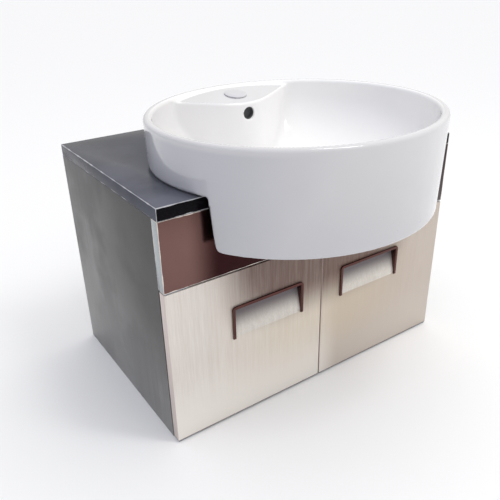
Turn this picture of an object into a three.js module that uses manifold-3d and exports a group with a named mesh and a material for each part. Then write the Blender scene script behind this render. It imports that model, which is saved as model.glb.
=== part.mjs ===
// Wall-hung bathroom vanity with a round semi-recessed basin, in millimetres.
// +X is to the right of a person facing it, +Y runs back to the wall and +Z is up.
// Inside the vanity group x = 0 is the middle, y = 0 the front of the doors and z = 0 the lowest edge.
// The outer group then puts the origin under the middle of the whole object.

import * as THREE from "three";
import { mergeVertices } from "three/addons/utils/BufferGeometryUtils.js";
import Module from "manifold-3d";

const wasm = await Module();
wasm.setup();

// ---------------------------------------------------------------- driving dimensions

// Gaps shared by many pieces.
const seatGap = 0.3; // between pieces that touch
const doorGap = 3; // seam between the doors, and the gaps above and below them
const swingClearance = 0.7; // left between a door's turning back corner and the carcass

// Cabinet.
const cabinetWidth = 600;
const cabinetDepth = 385; // front of the doors to the wall
const sideThickness = 16;
const bottomThickness = 16;
const backThickness = 8;
const panelSheet = 1.5; // the carcass panels and rails are hollow, folded from this sheet
const railThickness = 16;
const frontRailHeight = 30;
const hangingRailHeight = 80;
const fasciaHeight = 113;
const counterThickness = 20;
const pipeOpeningWidth = 220;
const pipeOpeningHeight = 130;
const pipeOpeningAbovePanelFoot = 150;

// Doors.
const doorHeight = 278;
const doorThickness = 16;
const skinThickness = 1;
const pivotFromEdge = 6; // hinge axis, in from the door's outer edge
const pivotFromFront = 7; // hinge axis, back from the door's front
const pinRadius = 2.5;
const pinRunningGap = 0.3;
const pinEngagement = 9; // height of the pin inside the bush
const bushWall = 1.2;
const pivotPlateThickness = 2;
const pivotPlateArm = 24;
const pivotPlateReach = 16; // how far the plate runs back over the carcass

// Recessed pulls.
const pullWidth = 144;
const pullHeight = 60;
const pullFromSeam = 43; // seam to the pull's inner edge
const pullBelowDoorTop = 61;
const pullFrameWidth = 5;
const pullFrameProud = 3;
const pullCornerRadius = 6;
const pullLining = 1.2;
const scoopBacking = 3.5; // door left behind the scoop at its deepest

// Basin.
const basinWidth = 500;
const basinDepth = 470;
const drainBehindDoors = 75; // the drain's middle, behind the doors' faces
const basinRise = 77; // rim above its seat on the counter
const apronDrop = 84; // apron's lower edge below the seat
const basinTaper = 4; // how much the outside draws in towards the apron's edge
const rimWidth = 14;
const rimOuterRadius = 7;
const rimInnerRadius = 6;
const apronLipRadius = 4;
const apronCornerRadius = 10;
const skirtWall = 14;
const bowlWall = 12;
const bowlShoulder = 10; // straight wall under the rim, before the bowl turns in
const bowlDepth = 131; // below the shoulder
const bowlCentreOffset = 4; // bowl's middle, ahead of the rim's middle
const deckDepth = 86; // tap deck, front edge to the rim's inside
const deckBelowRim = 17;
const deckFall = 0.15; // slope of the deck towards the bowl
const deckFrontSlope = 0.35; // how fast the front of the deck leans in with depth
const deckBlend = 8; // softness of the corners beside the deck
const bowlRoundness = 0.8; // powers that shape the bowl's side
const bowlSteepness = 0.91;
const apronSetback = 12; // apron's back face, ahead of the counter's edge
const apronLean = 6;
const counterCutClearance = 4;
const sealThickness = 1.5;
const sealInset = 2;
const sealWidth = 8;
const tapHoleRadius = 17.5;
const tapCoverRadius = 21;
const tapCoverThickness = 3;
const overflowRadius = 11;
const overflowBelowRim = 37;
const overflowDuctWidth = 28;
const overflowDuctDepth = 10;
const overflowDuctWall = 8;

// Waste and trap.
const drainRadius = 23;
const drainBossRadius = 36;
const drainBossDrop = 22; // boss below the underside of the bowl
const wasteTubeRadius = 21;
const wasteTubeWall = 4;
const wasteFlangeRadius = 33;
const wasteFlangeThickness = 3;
const wasteFlangeRecess = 2;
const wasteTubeLength = 66;
const plugCapRadius = 30;
const plugCapHeight = 5.5;
const plugStemRadius = 4;
const nutFlatRadius = 34;
const nutHeight = 12;
const wasteRoom = 3; // kept clear round the drain boss
const gasketHeight = 6;
const pipeRadius = 16;
const pipeWall = 2;
const trapRadius = 32;
const trapWall = 3;
const trapCupGrip = 12; // how far the cup screws up over the trap's body
const trapShoulder = 30; // trap's head above the middle of its outlet
const trapCupRadius = 36;
const trapCupHeight = 55;
const trapOutletBelowWaste = 56;
const escutcheonRadius = 38;
const escutcheonThickness = 6;

// Catches, brackets and screws.
const catchWidth = 40;
const catchHeight = 12;
const catchDepth = 14;
const catchFromSeam = 12;
const strikeThickness = 1;
const bracketThickness = 2;
const bracketLeg = 44;
const bracketHeight = 40;
const screwRadius = 2;
const screwHeadRadius = 4;
const screwHeadHeight = 2;
const screwLength = 11;
const sunkHeadRadius = 3.6; // of the pivot plates' screws, whose heads lie flush in the plates

const roundSides = 20;
const basinSides = 56;

// ---------------------------------------------------------------- places that follow from them

const halfWidth = cabinetWidth / 2;
const backReach = doorThickness - pivotFromFront; // hinge axis to the door's back
const cornerSweep = Math.hypot(pivotFromEdge, backReach) - backReach;
const carcassFront = doorThickness + cornerSweep + swingClearance;
const doorFoot = doorGap;
const doorTop = doorFoot + doorHeight;
const fasciaFoot = doorTop + doorGap;
const carcassTop = fasciaFoot + fasciaHeight;
const counterFoot = carcassTop + seatGap;
const counterTop = counterFoot + counterThickness;
const basinSeat = counterTop + sealThickness + 2 * seatGap;
const rimTop = basinSeat + basinRise;
const apronFoot = basinSeat - apronDrop;
const basinProjection = basinDepth / 2 - drainBehindDoors - bowlCentreOffset; // ahead of the doors' faces
const basinMiddle = basinDepth / 2 - basinProjection;
const bowlMiddle = basinMiddle - bowlCentreOffset;
const bowlTop = rimTop - bowlShoulder;
const bowlFloor = bowlTop - bowlDepth;
const bossFoot = bowlFloor - bowlWall - drainBossDrop;
const innerBack = basinMiddle + basinDepth / 2 - rimWidth;
const deckFront = innerBack - deckDepth;
const deckLevel = rimTop - deckBelowRim; // at the deck's front edge
const carcassHalfInside = halfWidth - sideThickness;

// ---------------------------------------------------------------- finishes

const finish = (color, roughness, metalness) => new THREE.MeshStandardMaterial({ color, roughness, metalness });

const glazedCeramic = finish(0xeeeceb, 0.08, 0);
const blackStone = finish(0x1b1a20, 0.18, 0);
const satinSteel = finish(0x8b8a89, 0.38, 1);
const mirrorBronze = finish(0x8a6a60, 0.12, 1);
const champagneSteel = finish(0xd6cdc4, 0.36, 0.6);
const honeycomb = finish(0xb9bcc0, 0.6, 0.4);
const darkBronze = finish(0x5b4540, 0.22, 1);
const zincSteel = finish(0xa8abb0, 0.35, 1);
const whiteNylon = finish(0xe4e2dc, 0.5, 0);
const whiteCap = finish(0xe9e8e8, 0.2, 0);
const clearSilicone = finish(0xc9cbcc, 0.35, 0);
const greyMagnet = finish(0x4a4b4f, 0.55, 0.2);
const brightChrome = finish(0xd9dadc, 0.08, 1);
const blackRubber = finish(0x1d1d1f, 0.8, 0);
const whitePlastic = finish(0xe8e8e6, 0.4, 0);

// ---------------------------------------------------------------- solids

// A closed geometry as a solid that can be cut and joined.
function solidOf(geometry) {
  const bare = geometry.clone();
  bare.deleteAttribute("normal");
  bare.deleteAttribute("uv");
  const merged = mergeVertices(bare, 1e-4);
  const mesh = new wasm.Mesh({
    numProp: 3,
    vertProperties: new Float32Array(merged.attributes.position.array),
    triVerts: new Uint32Array(merged.index.array),
  });
  return new wasm.Manifold(mesh);
}

function geometryOf(solid) {
  const mesh = solid.getMesh();
  const geometry = new THREE.BufferGeometry();
  geometry.setAttribute("position", new THREE.BufferAttribute(mesh.vertProperties, 3));
  geometry.setIndex(new THREE.BufferAttribute(mesh.triVerts, 1));
  const faceted = geometry.toNonIndexed();
  faceted.computeVertexNormals();
  return faceted;
}

function join(first, ...others) {
  return geometryOf(others.reduce((whole, piece) => whole.add(solidOf(piece)), solidOf(first)));
}

function cut(first, ...others) {
  return geometryOf(others.reduce((whole, piece) => whole.subtract(solidOf(piece)), solidOf(first)));
}

function overlapOf(first, second) {
  return geometryOf(solidOf(first).intersect(solidOf(second)));
}

// A block between two corners.
function block([x0, y0, z0], [x1, y1, z1]) {
  const geometry = new THREE.BoxGeometry(x1 - x0, y1 - y0, z1 - z0);
  return geometry.translate((x0 + x1) / 2, (y0 + y1) / 2, (z0 + z1) / 2);
}

// A hollow panel of folded sheet between two corners. Each entry of open is -1 or 1 where the panel's
// low or high end is left open, 2 where both are, and 0 where it is closed.
function foldedPanel(low, high, open) {
  const innerLow = low.map((value, i) => (open[i] === -1 || open[i] === 2 ? value - 1 : value + panelSheet));
  const innerHigh = high.map((value, i) => (open[i] > 0 ? value + 1 : value - panelSheet));
  return cut(block(low, high), block(innerLow, innerHigh));
}

// A round rod along Z between two heights, about x, y.
function uprightRod(x, y, z0, z1, radius, sides = roundSides) {
  const geometry = new THREE.CylinderGeometry(radius, radius, z1 - z0, sides);
  return geometry.rotateX(Math.PI / 2).translate(x, y, (z0 + z1) / 2);
}

// A round rod along Y between two depths, about x, z.
function levelRod(x, z, y0, y1, radius, sides = roundSides) {
  return new THREE.CylinderGeometry(radius, radius, y1 - y0, sides).translate(x, (y0 + y1) / 2, z);
}

// A profile of [radius, height] points turned about Z.
function turned(profile, sides = roundSides) {
  const points = profile.map(([radius, height]) => new THREE.Vector2(radius, height));
  return new THREE.LatheGeometry(points, sides).rotateX(Math.PI / 2);
}

// A profile of [radius, depth] points turned about Y.
function turnedLevel(profile, sides = roundSides) {
  return new THREE.LatheGeometry(profile.map(([radius, depth]) => new THREE.Vector2(radius, depth)), sides);
}

// A flat outline of [x, y] points, extruded upwards from z0 to z1.
function slab(outline, z0, z1) {
  const shape = new THREE.Shape(outline.map(([x, y]) => new THREE.Vector2(x, y)));
  const geometry = new THREE.ExtrudeGeometry(shape, { depth: z1 - z0, bevelEnabled: false });
  return geometry.translate(0, 0, z0);
}

// A side outline of [y, z] points, extruded along X from x0 to x1.
function sidewaysPrism(outline, x0, x1) {
  const shape = new THREE.Shape(outline.map(([y, z]) => new THREE.Vector2(y, z)));
  const geometry = new THREE.ExtrudeGeometry(shape, { depth: x1 - x0, bevelEnabled: false });
  const toPlace = new THREE.Matrix4().makeBasis(
    new THREE.Vector3(0, 1, 0),
    new THREE.Vector3(0, 0, 1),
    new THREE.Vector3(1, 0, 0),
  );
  return geometry.applyMatrix4(toPlace).translate(x0, 0, 0);
}

// A skin through level rings of equal length, from the lowest to the highest, closed at both ends.
function loft(rings) {
  const count = rings[0].length;
  const positions = rings.flat(2);
  const middleOf = (ring) => ring.reduce((sum, point) => sum.map((value, i) => value + point[i] / count), [0, 0, 0]);
  positions.push(...middleOf(rings[0]), ...middleOf(rings.at(-1)));
  const footMiddle = rings.length * count;
  const headMiddle = footMiddle + 1;
  const indices = [];
  for (let j = 0; j < count; j += 1) {
    const next = (j + 1) % count;
    const lastRing = (rings.length - 1) * count;
    indices.push(footMiddle, next, j);
    indices.push(headMiddle, lastRing + j, lastRing + next);
    for (let i = 0; i < rings.length - 1; i += 1) {
      const low = i * count;
      const high = low + count;
      indices.push(low + j, low + next, high + next);
      indices.push(low + j, high + next, high + j);
    }
  }
  const geometry = new THREE.BufferGeometry();
  geometry.setAttribute("position", new THREE.Float32BufferAttribute(positions, 3));
  geometry.setIndex(indices);
  return geometry;
}

function partGroup(parent, name, x = 0, y = 0, z = 0) {
  const group = new THREE.Group();
  group.name = name;
  group.position.set(x, y, z);
  parent.add(group);
  return group;
}

function addPart(parent, name, geometry, material, position = [0, 0, 0]) {
  const mesh = new THREE.Mesh(geometry, material);
  mesh.name = name;
  mesh.position.set(...position);
  parent.add(mesh);
  return mesh;
}

// ---------------------------------------------------------------- basin

// Angles round the basin, counter-clockwise seen from above.
const bearings = Array.from({ length: basinSides }, (_, i) => (i / basinSides) * 2 * Math.PI);

// A ring of the basin's outside, moved in or out by an offset.
function outsideRing(height, offset) {
  const drawnIn = (basinTaper * (rimTop - height)) / (rimTop - apronFoot);
  const halfX = basinWidth / 2 - drawnIn + offset;
  const halfY = basinDepth / 2 - drawnIn + offset;
  return bearings.map((a) => [halfX * Math.cos(a), basinMiddle + halfY * Math.sin(a), height]);
}

// Distance from the bowl's middle to the ellipse inside the rim, along a bearing.
function rimReach(bearing) {
  const halfX = basinWidth / 2 - rimWidth;
  const halfY = basinDepth / 2 - rimWidth;
  const dx = Math.cos(bearing) / halfX;
  const dy = Math.sin(bearing) / halfY;
  const startY = -bowlCentreOffset / halfY;
  const a = dx * dx + dy * dy;
  const b = dy * startY;
  return (-b + Math.sqrt(b * b - a * (startY * startY - 1))) / a;
}

// Distance from the bowl's middle to the rounded front of the tap deck.
function deckReach(bearing) {
  const turn = Math.abs(Math.atan2(Math.sin(bearing - Math.PI / 2), Math.cos(bearing - Math.PI / 2)));
  return (deckFront - bowlMiddle) * (1 + 1.3 * turn ** 2 + 2.4 * turn ** 4);
}

// The bowl's side: share of the outline and share of the depth, from 0 at the shoulder to 1 at the floor.
const bowlShare = (turn) => Math.cos(turn) ** bowlRoundness;
const bowlDepthShare = (turn) => Math.sin(turn) ** bowlSteepness;
const bowlTurns = [85, 76, 66, 55, 44, 33, 22, 11, 0].map(THREE.MathUtils.degToRad);

// An oval bowl with no deck, and the real one, whose oval is blended with the deck's steep front.
const ovalReach = (bearing, turn) => bowlShare(turn) * rimReach(bearing);

function bowlReach(bearing, turn) {
  const oval = Math.exp(-ovalReach(bearing, turn) / deckBlend);
  const deck = Math.exp(-(deckReach(bearing) * bowlShare(turn) ** deckFrontSlope) / deckBlend);
  return -deckBlend * Math.log(oval + deck);
}

// The bowl as a solid, thickened by a wall, with straight sides above its shoulder.
function bowlSolid(wall, topHeight, reach) {
  const ringAt = (turn, height) => bearings.map((a) => {
    const radius = reach(a, turn) + wall * Math.cos(turn);
    return [radius * Math.cos(a), bowlMiddle + radius * Math.sin(a), height];
  });
  const rings = bowlTurns.map((turn) =>
    ringAt(turn, bowlTop - bowlDepth * bowlDepthShare(turn) - wall * Math.sin(turn)));
  rings.push(ringAt(0, topHeight));
  return loft(rings);
}

// The outline that a straight-down cut needs to let the bowl through at a height.
function bowlOutlineAt(height, clearance) {
  const depthShare = (bowlTop - height) / bowlDepth;
  const turn = Math.asin(depthShare ** (1 / bowlSteepness));
  return bearings.map((a) => {
    const radius = ovalReach(a, turn) + bowlWall + clearance;
    return [radius * Math.cos(a), bowlMiddle + radius * Math.sin(a)];
  });
}

// The bowl's centre line behind the deck, offset outwards, as [y, z] points.
function backOfBowl(offset, firstTurn, lastTurn) {
  const steps = 7;
  return Array.from({ length: steps + 1 }, (_, i) => {
    const turn = firstTurn + ((lastTurn - firstTurn) * i) / steps;
    const y = bowlMiddle + bowlReach(Math.PI / 2, turn) + offset * Math.cos(turn);
    return [y, bowlTop - bowlDepth * bowlDepthShare(turn) - offset * Math.sin(turn)];
  });
}

function bandBehindBowl(inner, outer, firstTurn, lastTurn, width) {
  const outline = [...backOfBowl(inner, firstTurn, lastTurn), ...backOfBowl(outer, firstTurn, lastTurn).reverse()];
  return sidewaysPrism(outline, -width / 2, width / 2);
}

function basinOutside() {
  const rings = [
    outsideRing(apronFoot, -apronLipRadius),
    outsideRing(apronFoot + apronLipRadius * 0.3, -apronLipRadius * 0.3),
    outsideRing(apronFoot + apronLipRadius, 0),
    outsideRing(basinSeat, 0),
  ];
  const arcSteps = 3;
  for (let i = 0; i <= arcSteps; i += 1) {
    const a = (i / arcSteps) * (Math.PI / 2);
    const height = rimTop - rimOuterRadius + rimOuterRadius * Math.sin(a);
    rings.push(outsideRing(height, -rimOuterRadius * (1 - Math.cos(a))));
  }
  return loft(rings);
}

// What is taken away below the seat, behind the apron, so that the basin straddles the counter's edge.
function counterStep() {
  const far = basinDepth;
  const stepHead = -apronSetback;
  const stepFoot = -apronSetback - apronLean;
  const corner = Array.from({ length: 5 }, (_, i) => {
    const a = (i / 4) * (Math.PI / 2);
    const y = stepFoot - apronCornerRadius * (1 - Math.cos(a));
    return [y, apronFoot + apronCornerRadius * (1 - Math.sin(a))];
  });
  const below = apronFoot - apronCornerRadius;
  const outline = [[far, basinSeat], [stepHead, basinSeat], ...corner, [corner.at(-1)[0], below], [far, below]];
  return sidewaysPrism(outline, -basinWidth, basinWidth);
}

// The open hollow between the bowl and the outer wall, seen only from below.
function basinUnderside() {
  const hollowTop = deckLevel - bowlWall;
  const rings = [apronFoot - 1, basinSeat, hollowTop].map((height) => outsideRing(height, -skirtWall));
  const apronBack = -apronSetback - apronLean - skirtWall;
  const kept = block([-basinWidth, apronBack, apronFoot - 2], [basinWidth, basinDepth, basinSeat]);
  return cut(loft(rings), kept);
}

// The space above the tap deck and inside the rim's rounded inner edge.
function deckRecess() {
  const ringAt = (height, offset) => bearings.map((a) => {
    const radius = rimReach(a) + offset;
    return [radius * Math.cos(a), bowlMiddle + radius * Math.sin(a), height];
  });
  const arcSteps = 3;
  const rings = [ringAt(deckLevel - bowlShoulder, 0)];
  for (let i = 0; i <= arcSteps; i += 1) {
    const a = (i / arcSteps) * (Math.PI / 2);
    const height = rimTop - rimInnerRadius + rimInnerRadius * Math.sin(a);
    rings.push(ringAt(height, rimInnerRadius * (1 - Math.cos(a))));
  }
  rings.push(ringAt(rimTop + rimWidth, rimInnerRadius));
  const near = deckFront - deckBlend;
  const far = basinDepth;
  const deckAt = (y) => deckLevel + deckFall * (y - deckFront);
  const above = rimTop + 2 * rimWidth;
  const outline = [
    [-far, bowlTop], [near, bowlTop], [near, deckAt(near)], [far, deckAt(far)], [far, above], [-far, above],
  ];
  return overlapOf(loft(rings), sidewaysPrism(outline, -basinWidth, basinWidth));
}

const tapHoleY = deckFront + deckDepth * 0.52;
const tapHoleZ = deckLevel + deckFall * (tapHoleY - deckFront);
const recessFloor = bowlFloor - wasteFlangeRecess;

function basin() {
  const ductStart = THREE.MathUtils.degToRad(7);
  const ductEnd = THREE.MathUtils.degToRad(80);
  const passageInner = bowlWall;
  const passageOuter = passageInner + overflowDuctDepth;
  const ductWidth = overflowDuctWidth + 2 * overflowDuctWall;
  const shell = join(
    cut(basinOutside(), counterStep(), basinUnderside()),
    bowlSolid(bowlWall, bowlTop + 1, bowlReach),
    bandBehindBowl(bowlWall / 2, passageOuter + overflowDuctWall, ductStart * 0.6, ductEnd, ductWidth),
    uprightRod(0, bowlMiddle, bossFoot, bowlFloor, drainBossRadius),
  );
  const holeZ = rimTop - overflowBelowRim;
  const holeEnd = deckFront + passageInner + overflowDuctDepth / 2;
  const tapHole = uprightRod(0, 0, -deckDepth, deckDepth, tapHoleRadius).rotateX(Math.atan(deckFall));
  return cut(
    shell,
    bowlSolid(0, rimTop + rimWidth, bowlReach),
    deckRecess(),
    bandBehindBowl(passageInner, passageOuter, ductStart, ductEnd, overflowDuctWidth),
    levelRod(0, holeZ, bowlMiddle, holeEnd, overflowRadius),
    tapHole.translate(0, tapHoleY, tapHoleZ),
    uprightRod(0, bowlMiddle, bossFoot - 1, bowlFloor + 1, drainRadius),
    uprightRod(0, bowlMiddle, recessFloor, bowlFloor + bowlWall, wasteFlangeRadius + seatGap),
  );
}

// The bed of silicone under the part of the basin that stands on the counter.
function basinSeal() {
  const foot = counterTop + seatGap;
  const ring = (offset, z0, z1) => loft([
    outsideRing(basinSeat, offset).map(([x, y]) => [x, y, z0]),
    outsideRing(basinSeat, offset).map(([x, y]) => [x, y, z1]),
  ]);
  const whole = ring(-sealInset, foot, foot + sealThickness);
  const inner = ring(-sealInset - sealWidth, foot - 1, foot + sealThickness + 1);
  const ahead = block([-basinWidth, -basinDepth, foot - 2], [basinWidth, sealInset, foot + sealThickness + 2]);
  return cut(whole, inner, ahead);
}

function tapHoleCover() {
  const stem = tapHoleRadius - 1;
  const edge = tapCoverThickness;
  return turned([
    [0, -12],
    [stem, -12],
    [stem, seatGap],
    [tapCoverRadius, seatGap],
    [tapCoverRadius, edge * 0.6],
    [tapCoverRadius - edge * 0.4, edge * 0.93],
    [tapCoverRadius - edge, edge],
    [0, edge * 1.1],
  ]);
}

// ---------------------------------------------------------------- counter and cabinet

function counter() {
  const whole = block([-halfWidth, 0, counterFoot], [halfWidth, cabinetDepth, counterTop]);
  const cutOutline = bowlOutlineAt(counterTop, counterCutClearance);
  const throughBowl = slab(cutOutline, counterFoot - 1, counterTop + 1);
  return cut(whole, throughBowl);
}

function fascia() {
  const whole = foldedPanel([-halfWidth, 0, fasciaFoot], [halfWidth, carcassFront - seatGap, carcassTop], [0, 1, 0]);
  return cut(whole, bowlSolid(bowlWall + counterCutClearance, bowlTop + 1, ovalReach));
}

function screwHole([x, y, z], direction) {
  const reach = screwLength + screwHeadHeight;
  const rod = new THREE.CylinderGeometry(screwRadius + seatGap, screwRadius + seatGap, 2 * reach, 12);
  rod.applyQuaternion(new THREE.Quaternion().setFromUnitVectors(new THREE.Vector3(0, 1, 0), direction));
  return rod.translate(x, y, z);
}

// A pan-head screw whose head rests on the origin and whose shank runs along a direction.
function screw(direction) {
  const profile = [
    [0, -screwHeadHeight],
    [screwHeadRadius * 0.7, -screwHeadHeight],
    [screwHeadRadius, -screwHeadHeight * 0.4],
    [screwHeadRadius, 0],
    [screwRadius, 0],
    [screwRadius, screwLength - screwRadius],
    [0, screwLength],
  ];
  const geometry = turnedLevel(profile, 12);
  const toDirection = new THREE.Quaternion().setFromUnitVectors(new THREE.Vector3(0, 1, 0), direction);
  return geometry.applyQuaternion(toDirection);
}

const bracketTop = carcassTop - 20;
const bracketMiddle = bracketTop - bracketHeight / 2;
const railFront = cabinetDepth - railThickness;
const bracketSideScrewY = railFront - bracketLeg * 0.65;
const bracketRailScrewX = carcassHalfInside - bracketLeg * 0.65;

function sidePanel(side) {
  const inner = side * carcassHalfInside;
  const outer = side * halfWidth;
  const [x0, x1] = [Math.min(inner, outer), Math.max(inner, outer)];
  const panel = foldedPanel([x0, carcassFront, 0], [x1, cabinetDepth, carcassTop], [0, 1, 0]);
  return cut(panel, screwHole([inner, bracketSideScrewY, bracketMiddle], new THREE.Vector3(1, 0, 0)));
}

const bottomPanelFoot = doorGap;
const pivotPlateScrewX = (side) => side * (carcassHalfInside - pivotPlateArm * 0.5);
const pivotPlateScrewY = carcassFront + pivotPlateReach * 0.55;
const upright = new THREE.Vector3(0, 0, 1);

function bottomPanel() {
  const edge = carcassHalfInside - seatGap;
  const head = bottomPanelFoot + bottomThickness;
  const back = cabinetDepth - backThickness - seatGap;
  const panel = foldedPanel([-edge, carcassFront, bottomPanelFoot], [edge, back, head], [0, 1, 0]);
  const holes = [-1, 1].map((side) => screwHole([pivotPlateScrewX(side), pivotPlateScrewY, bottomPanelFoot], upright));
  return cut(panel, ...holes);
}

const hangingRailFoot = carcassTop - hangingRailHeight;

function backPanel() {
  const edge = carcassHalfInside - seatGap;
  const panel = foldedPanel(
    [-edge, cabinetDepth - backThickness, bottomPanelFoot],
    [edge, cabinetDepth, hangingRailFoot - seatGap],
    [0, 1, 0],
  );
  const openingFoot = bottomPanelFoot + pipeOpeningAbovePanelFoot;
  const opening = block(
    [-pipeOpeningWidth / 2, cabinetDepth - 2 * backThickness, openingFoot],
    [pipeOpeningWidth / 2, cabinetDepth + backThickness, openingFoot + pipeOpeningHeight],
  );
  return cut(panel, opening);
}

function hangingRail() {
  const edge = carcassHalfInside - seatGap;
  const rail = foldedPanel([-edge, railFront, hangingRailFoot], [edge, cabinetDepth, carcassTop], [2, 0, 0]);
  const alongY = new THREE.Vector3(0, 1, 0);
  const holes = [-1, 1].map((side) => screwHole([side * bracketRailScrewX, railFront, bracketMiddle], alongY));
  return cut(rail, ...holes);
}

function frontRail() {
  const edge = carcassHalfInside - seatGap;
  const rail = foldedPanel(
    [-edge, carcassFront, fasciaFoot],
    [edge, carcassFront + railThickness, fasciaFoot + frontRailHeight],
    [2, 0, 0],
  );
  const holes = [-1, 1].map((side) => screwHole([pivotPlateScrewX(side), pivotPlateScrewY, fasciaFoot], upright));
  const aroundWaste = uprightRod(0, bowlMiddle, fasciaFoot - 1, carcassTop, drainBossRadius + wasteRoom);
  return cut(rail, aroundWaste, ...holes);
}

// An angle bracket in the upper back corner, one leg on the side panel and one on the hanging rail.
function hangingBracket(side) {
  const corner = carcassHalfInside - seatGap;
  const back = railFront - seatGap;
  const outline = [
    [corner, back],
    [corner - bracketLeg, back],
    [corner - bracketLeg, back - bracketThickness],
    [corner - bracketThickness, back - bracketThickness],
    [corner - bracketThickness, back - bracketLeg],
    [corner, back - bracketLeg],
  ].map(([x, y]) => [side * x, y]);
  const bracket = slab(outline, bracketTop - bracketHeight, bracketTop);
  return cut(
    bracket,
    screwHole([side * corner, bracketSideScrewY, bracketMiddle], new THREE.Vector3(1, 0, 0)),
    screwHole([side * bracketRailScrewX, back, bracketMiddle], new THREE.Vector3(0, 1, 0)),
  );
}

// ---------------------------------------------------------------- doors

// Door pieces are made about the hinge axis. x runs from the axis towards the seam on the left door,
// and is mirrored on the right one; z starts at the cabinet's lowest edge.
const doorOuter = -pivotFromEdge;
const doorInner = halfWidth - pivotFromEdge - doorGap / 2;
const doorFront = -pivotFromFront;
const doorBack = doorFront + doorThickness;
const pullMiddle = doorInner + doorGap / 2 - pullFromSeam - pullWidth / 2;
const pullTop = doorTop - pullBelowDoorTop;
const pullFoot = pullTop - pullHeight;
const pullInsideTop = pullTop - pullFrameWidth;
const scoopTop = pullInsideTop + pullLining + seatGap;
const scoopFoot = pullFoot + pullFrameWidth;
const scoopHalfWidth = pullWidth / 2 - pullFrameWidth + pullLining + seatGap;
const scoopDepth = doorThickness - scoopBacking;
const bushRadius = pinRadius + pinRunningGap + bushWall;

// The scoop's wedge: flush with the door at its foot and deepest under the frame's top bar.
// The wall thickens it outwards, and ahead is how far it runs on in front of the door.
function scoopWedge(wall, ahead) {
  const rise = scoopTop - scoopFoot;
  const footDrop = (wall * Math.hypot(rise, scoopDepth)) / scoopDepth;
  const front = doorFront - ahead;
  const back = doorFront + scoopDepth + wall;
  const slopeAt = (y) => scoopFoot - footDrop + ((y - doorFront) * rise) / scoopDepth;
  const outline = [[front, slopeAt(front)], [back, slopeAt(back)]];
  if (wall > 0) outline.push([back, scoopTop + wall]);
  outline.push([front, scoopTop + wall]);
  const halfWidth = scoopHalfWidth + wall;
  return sidewaysPrism(outline, pullMiddle - halfWidth, pullMiddle + halfWidth);
}

function mirrored(geometry, side) {
  return side < 0 ? geometry : geometryOf(solidOf(geometry).mirror([1, 0, 0]));
}

function doorSkin() {
  const tray = block([doorOuter, doorFront, doorFoot], [doorInner, doorBack, doorTop]);
  const inside = block(
    [doorOuter + skinThickness, doorFront + skinThickness, doorFoot + skinThickness],
    [doorInner - skinThickness, doorBack + 1, doorTop - skinThickness],
  );
  const bushHoles = uprightRod(0, 0, doorFoot - 1, doorTop + 1, bushRadius + seatGap);
  return cut(tray, inside, scoopWedge(skinThickness + seatGap, 1), bushHoles);
}

function doorCore() {
  const gap = skinThickness + seatGap;
  const core = block(
    [doorOuter + gap, doorFront + gap, doorFoot + gap],
    [doorInner - gap, doorBack - gap, doorTop - gap],
  );
  const bushDepth = pinEngagement + 3;
  return cut(
    core,
    scoopWedge(gap, 1),
    uprightRod(0, 0, doorFoot, doorFoot + bushDepth, bushRadius + seatGap),
    uprightRod(0, 0, doorTop - bushDepth, doorTop, bushRadius + seatGap),
  );
}

function doorBackSheet() {
  const gap = skinThickness + seatGap;
  return block(
    [doorOuter + gap, doorBack - skinThickness, doorFoot + gap],
    [doorInner - gap, doorBack, doorTop - gap],
  );
}

function doorScoop() {
  return cut(scoopWedge(skinThickness, 0), scoopWedge(0, 1));
}

// The inverted-U frame that stands proud of the door, with a lining that turns into the scoop.
function pullFrame() {
  const half = pullWidth / 2;
  const r = pullCornerRadius;
  const inner = half - pullFrameWidth;
  const innerTop = pullInsideTop;
  const corner = (x, turn) => Array.from({ length: 5 }, (_, i) => {
    const a = turn + (i / 4) * (Math.PI / 2);
    return [x + r * Math.cos(a), pullTop - r + r * Math.sin(a)];
  });
  const outline = [
    [inner, pullFoot],
    [half, pullFoot],
    ...corner(half - r, 0),
    ...corner(r - half, Math.PI / 2),
    [-half, pullFoot],
    [-inner, pullFoot],
    [-inner, innerTop],
    [inner, innerTop],
  ];
  const faceDepth = pullFrameProud - seatGap;
  const face = slab(outline, 0, faceDepth).rotateX(Math.PI / 2).translate(0, doorFront - seatGap, 0);
  const liningFoot = scoopFoot + skinThickness;
  const liningHead = innerTop + pullLining;
  const liningDepth = (y) => liningFoot + ((y - doorFront) * (liningHead - liningFoot)) / scoopDepth;
  const front = doorFront - pullFrameProud / 2;
  const back = doorFront + scoopDepth - 1;
  const slopeGap = 2.5;
  const cheekOutline = [
    [front, liningFoot],
    [doorFront, liningFoot + slopeGap],
    [back, liningDepth(back) + slopeGap / 2],
    [back, liningHead],
    [front, liningHead],
  ];
  const left = sidewaysPrism(cheekOutline, -inner - pullLining, -inner);
  const right = sidewaysPrism(cheekOutline, inner, inner + pullLining);
  const top = block([-inner - pullLining, front, innerTop], [inner + pullLining, back, liningHead]);
  return join(face, left, right, top).translate(pullMiddle, 0, 0);
}

function pivotBush(z0, z1) {
  const inner = pinRadius + pinRunningGap;
  return turned([[inner, z0], [bushRadius, z0], [bushRadius, z1], [inner, z1], [inner, z0]]);
}

// ---------------------------------------------------------------- door pivots on the cabinet

const pivotScrewX = sideThickness - pivotFromEdge + pivotPlateArm * 0.5;
const pivotScrewPlace = [pivotScrewX, pivotPlateScrewY - pivotFromFront, 0];
const sunkHeadHeight = sunkHeadRadius - screwRadius;

// A countersunk screw driven upwards, with its head flush at z0.
function pivotScrew(z0) {
  const profile = [
    [0, z0],
    [sunkHeadRadius, z0],
    [screwRadius, z0 + sunkHeadHeight],
    [screwRadius, z0 + screwLength - screwRadius],
    [0, z0 + screwLength],
  ];
  return turned(profile, 12).translate(...pivotScrewPlace);
}

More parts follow.
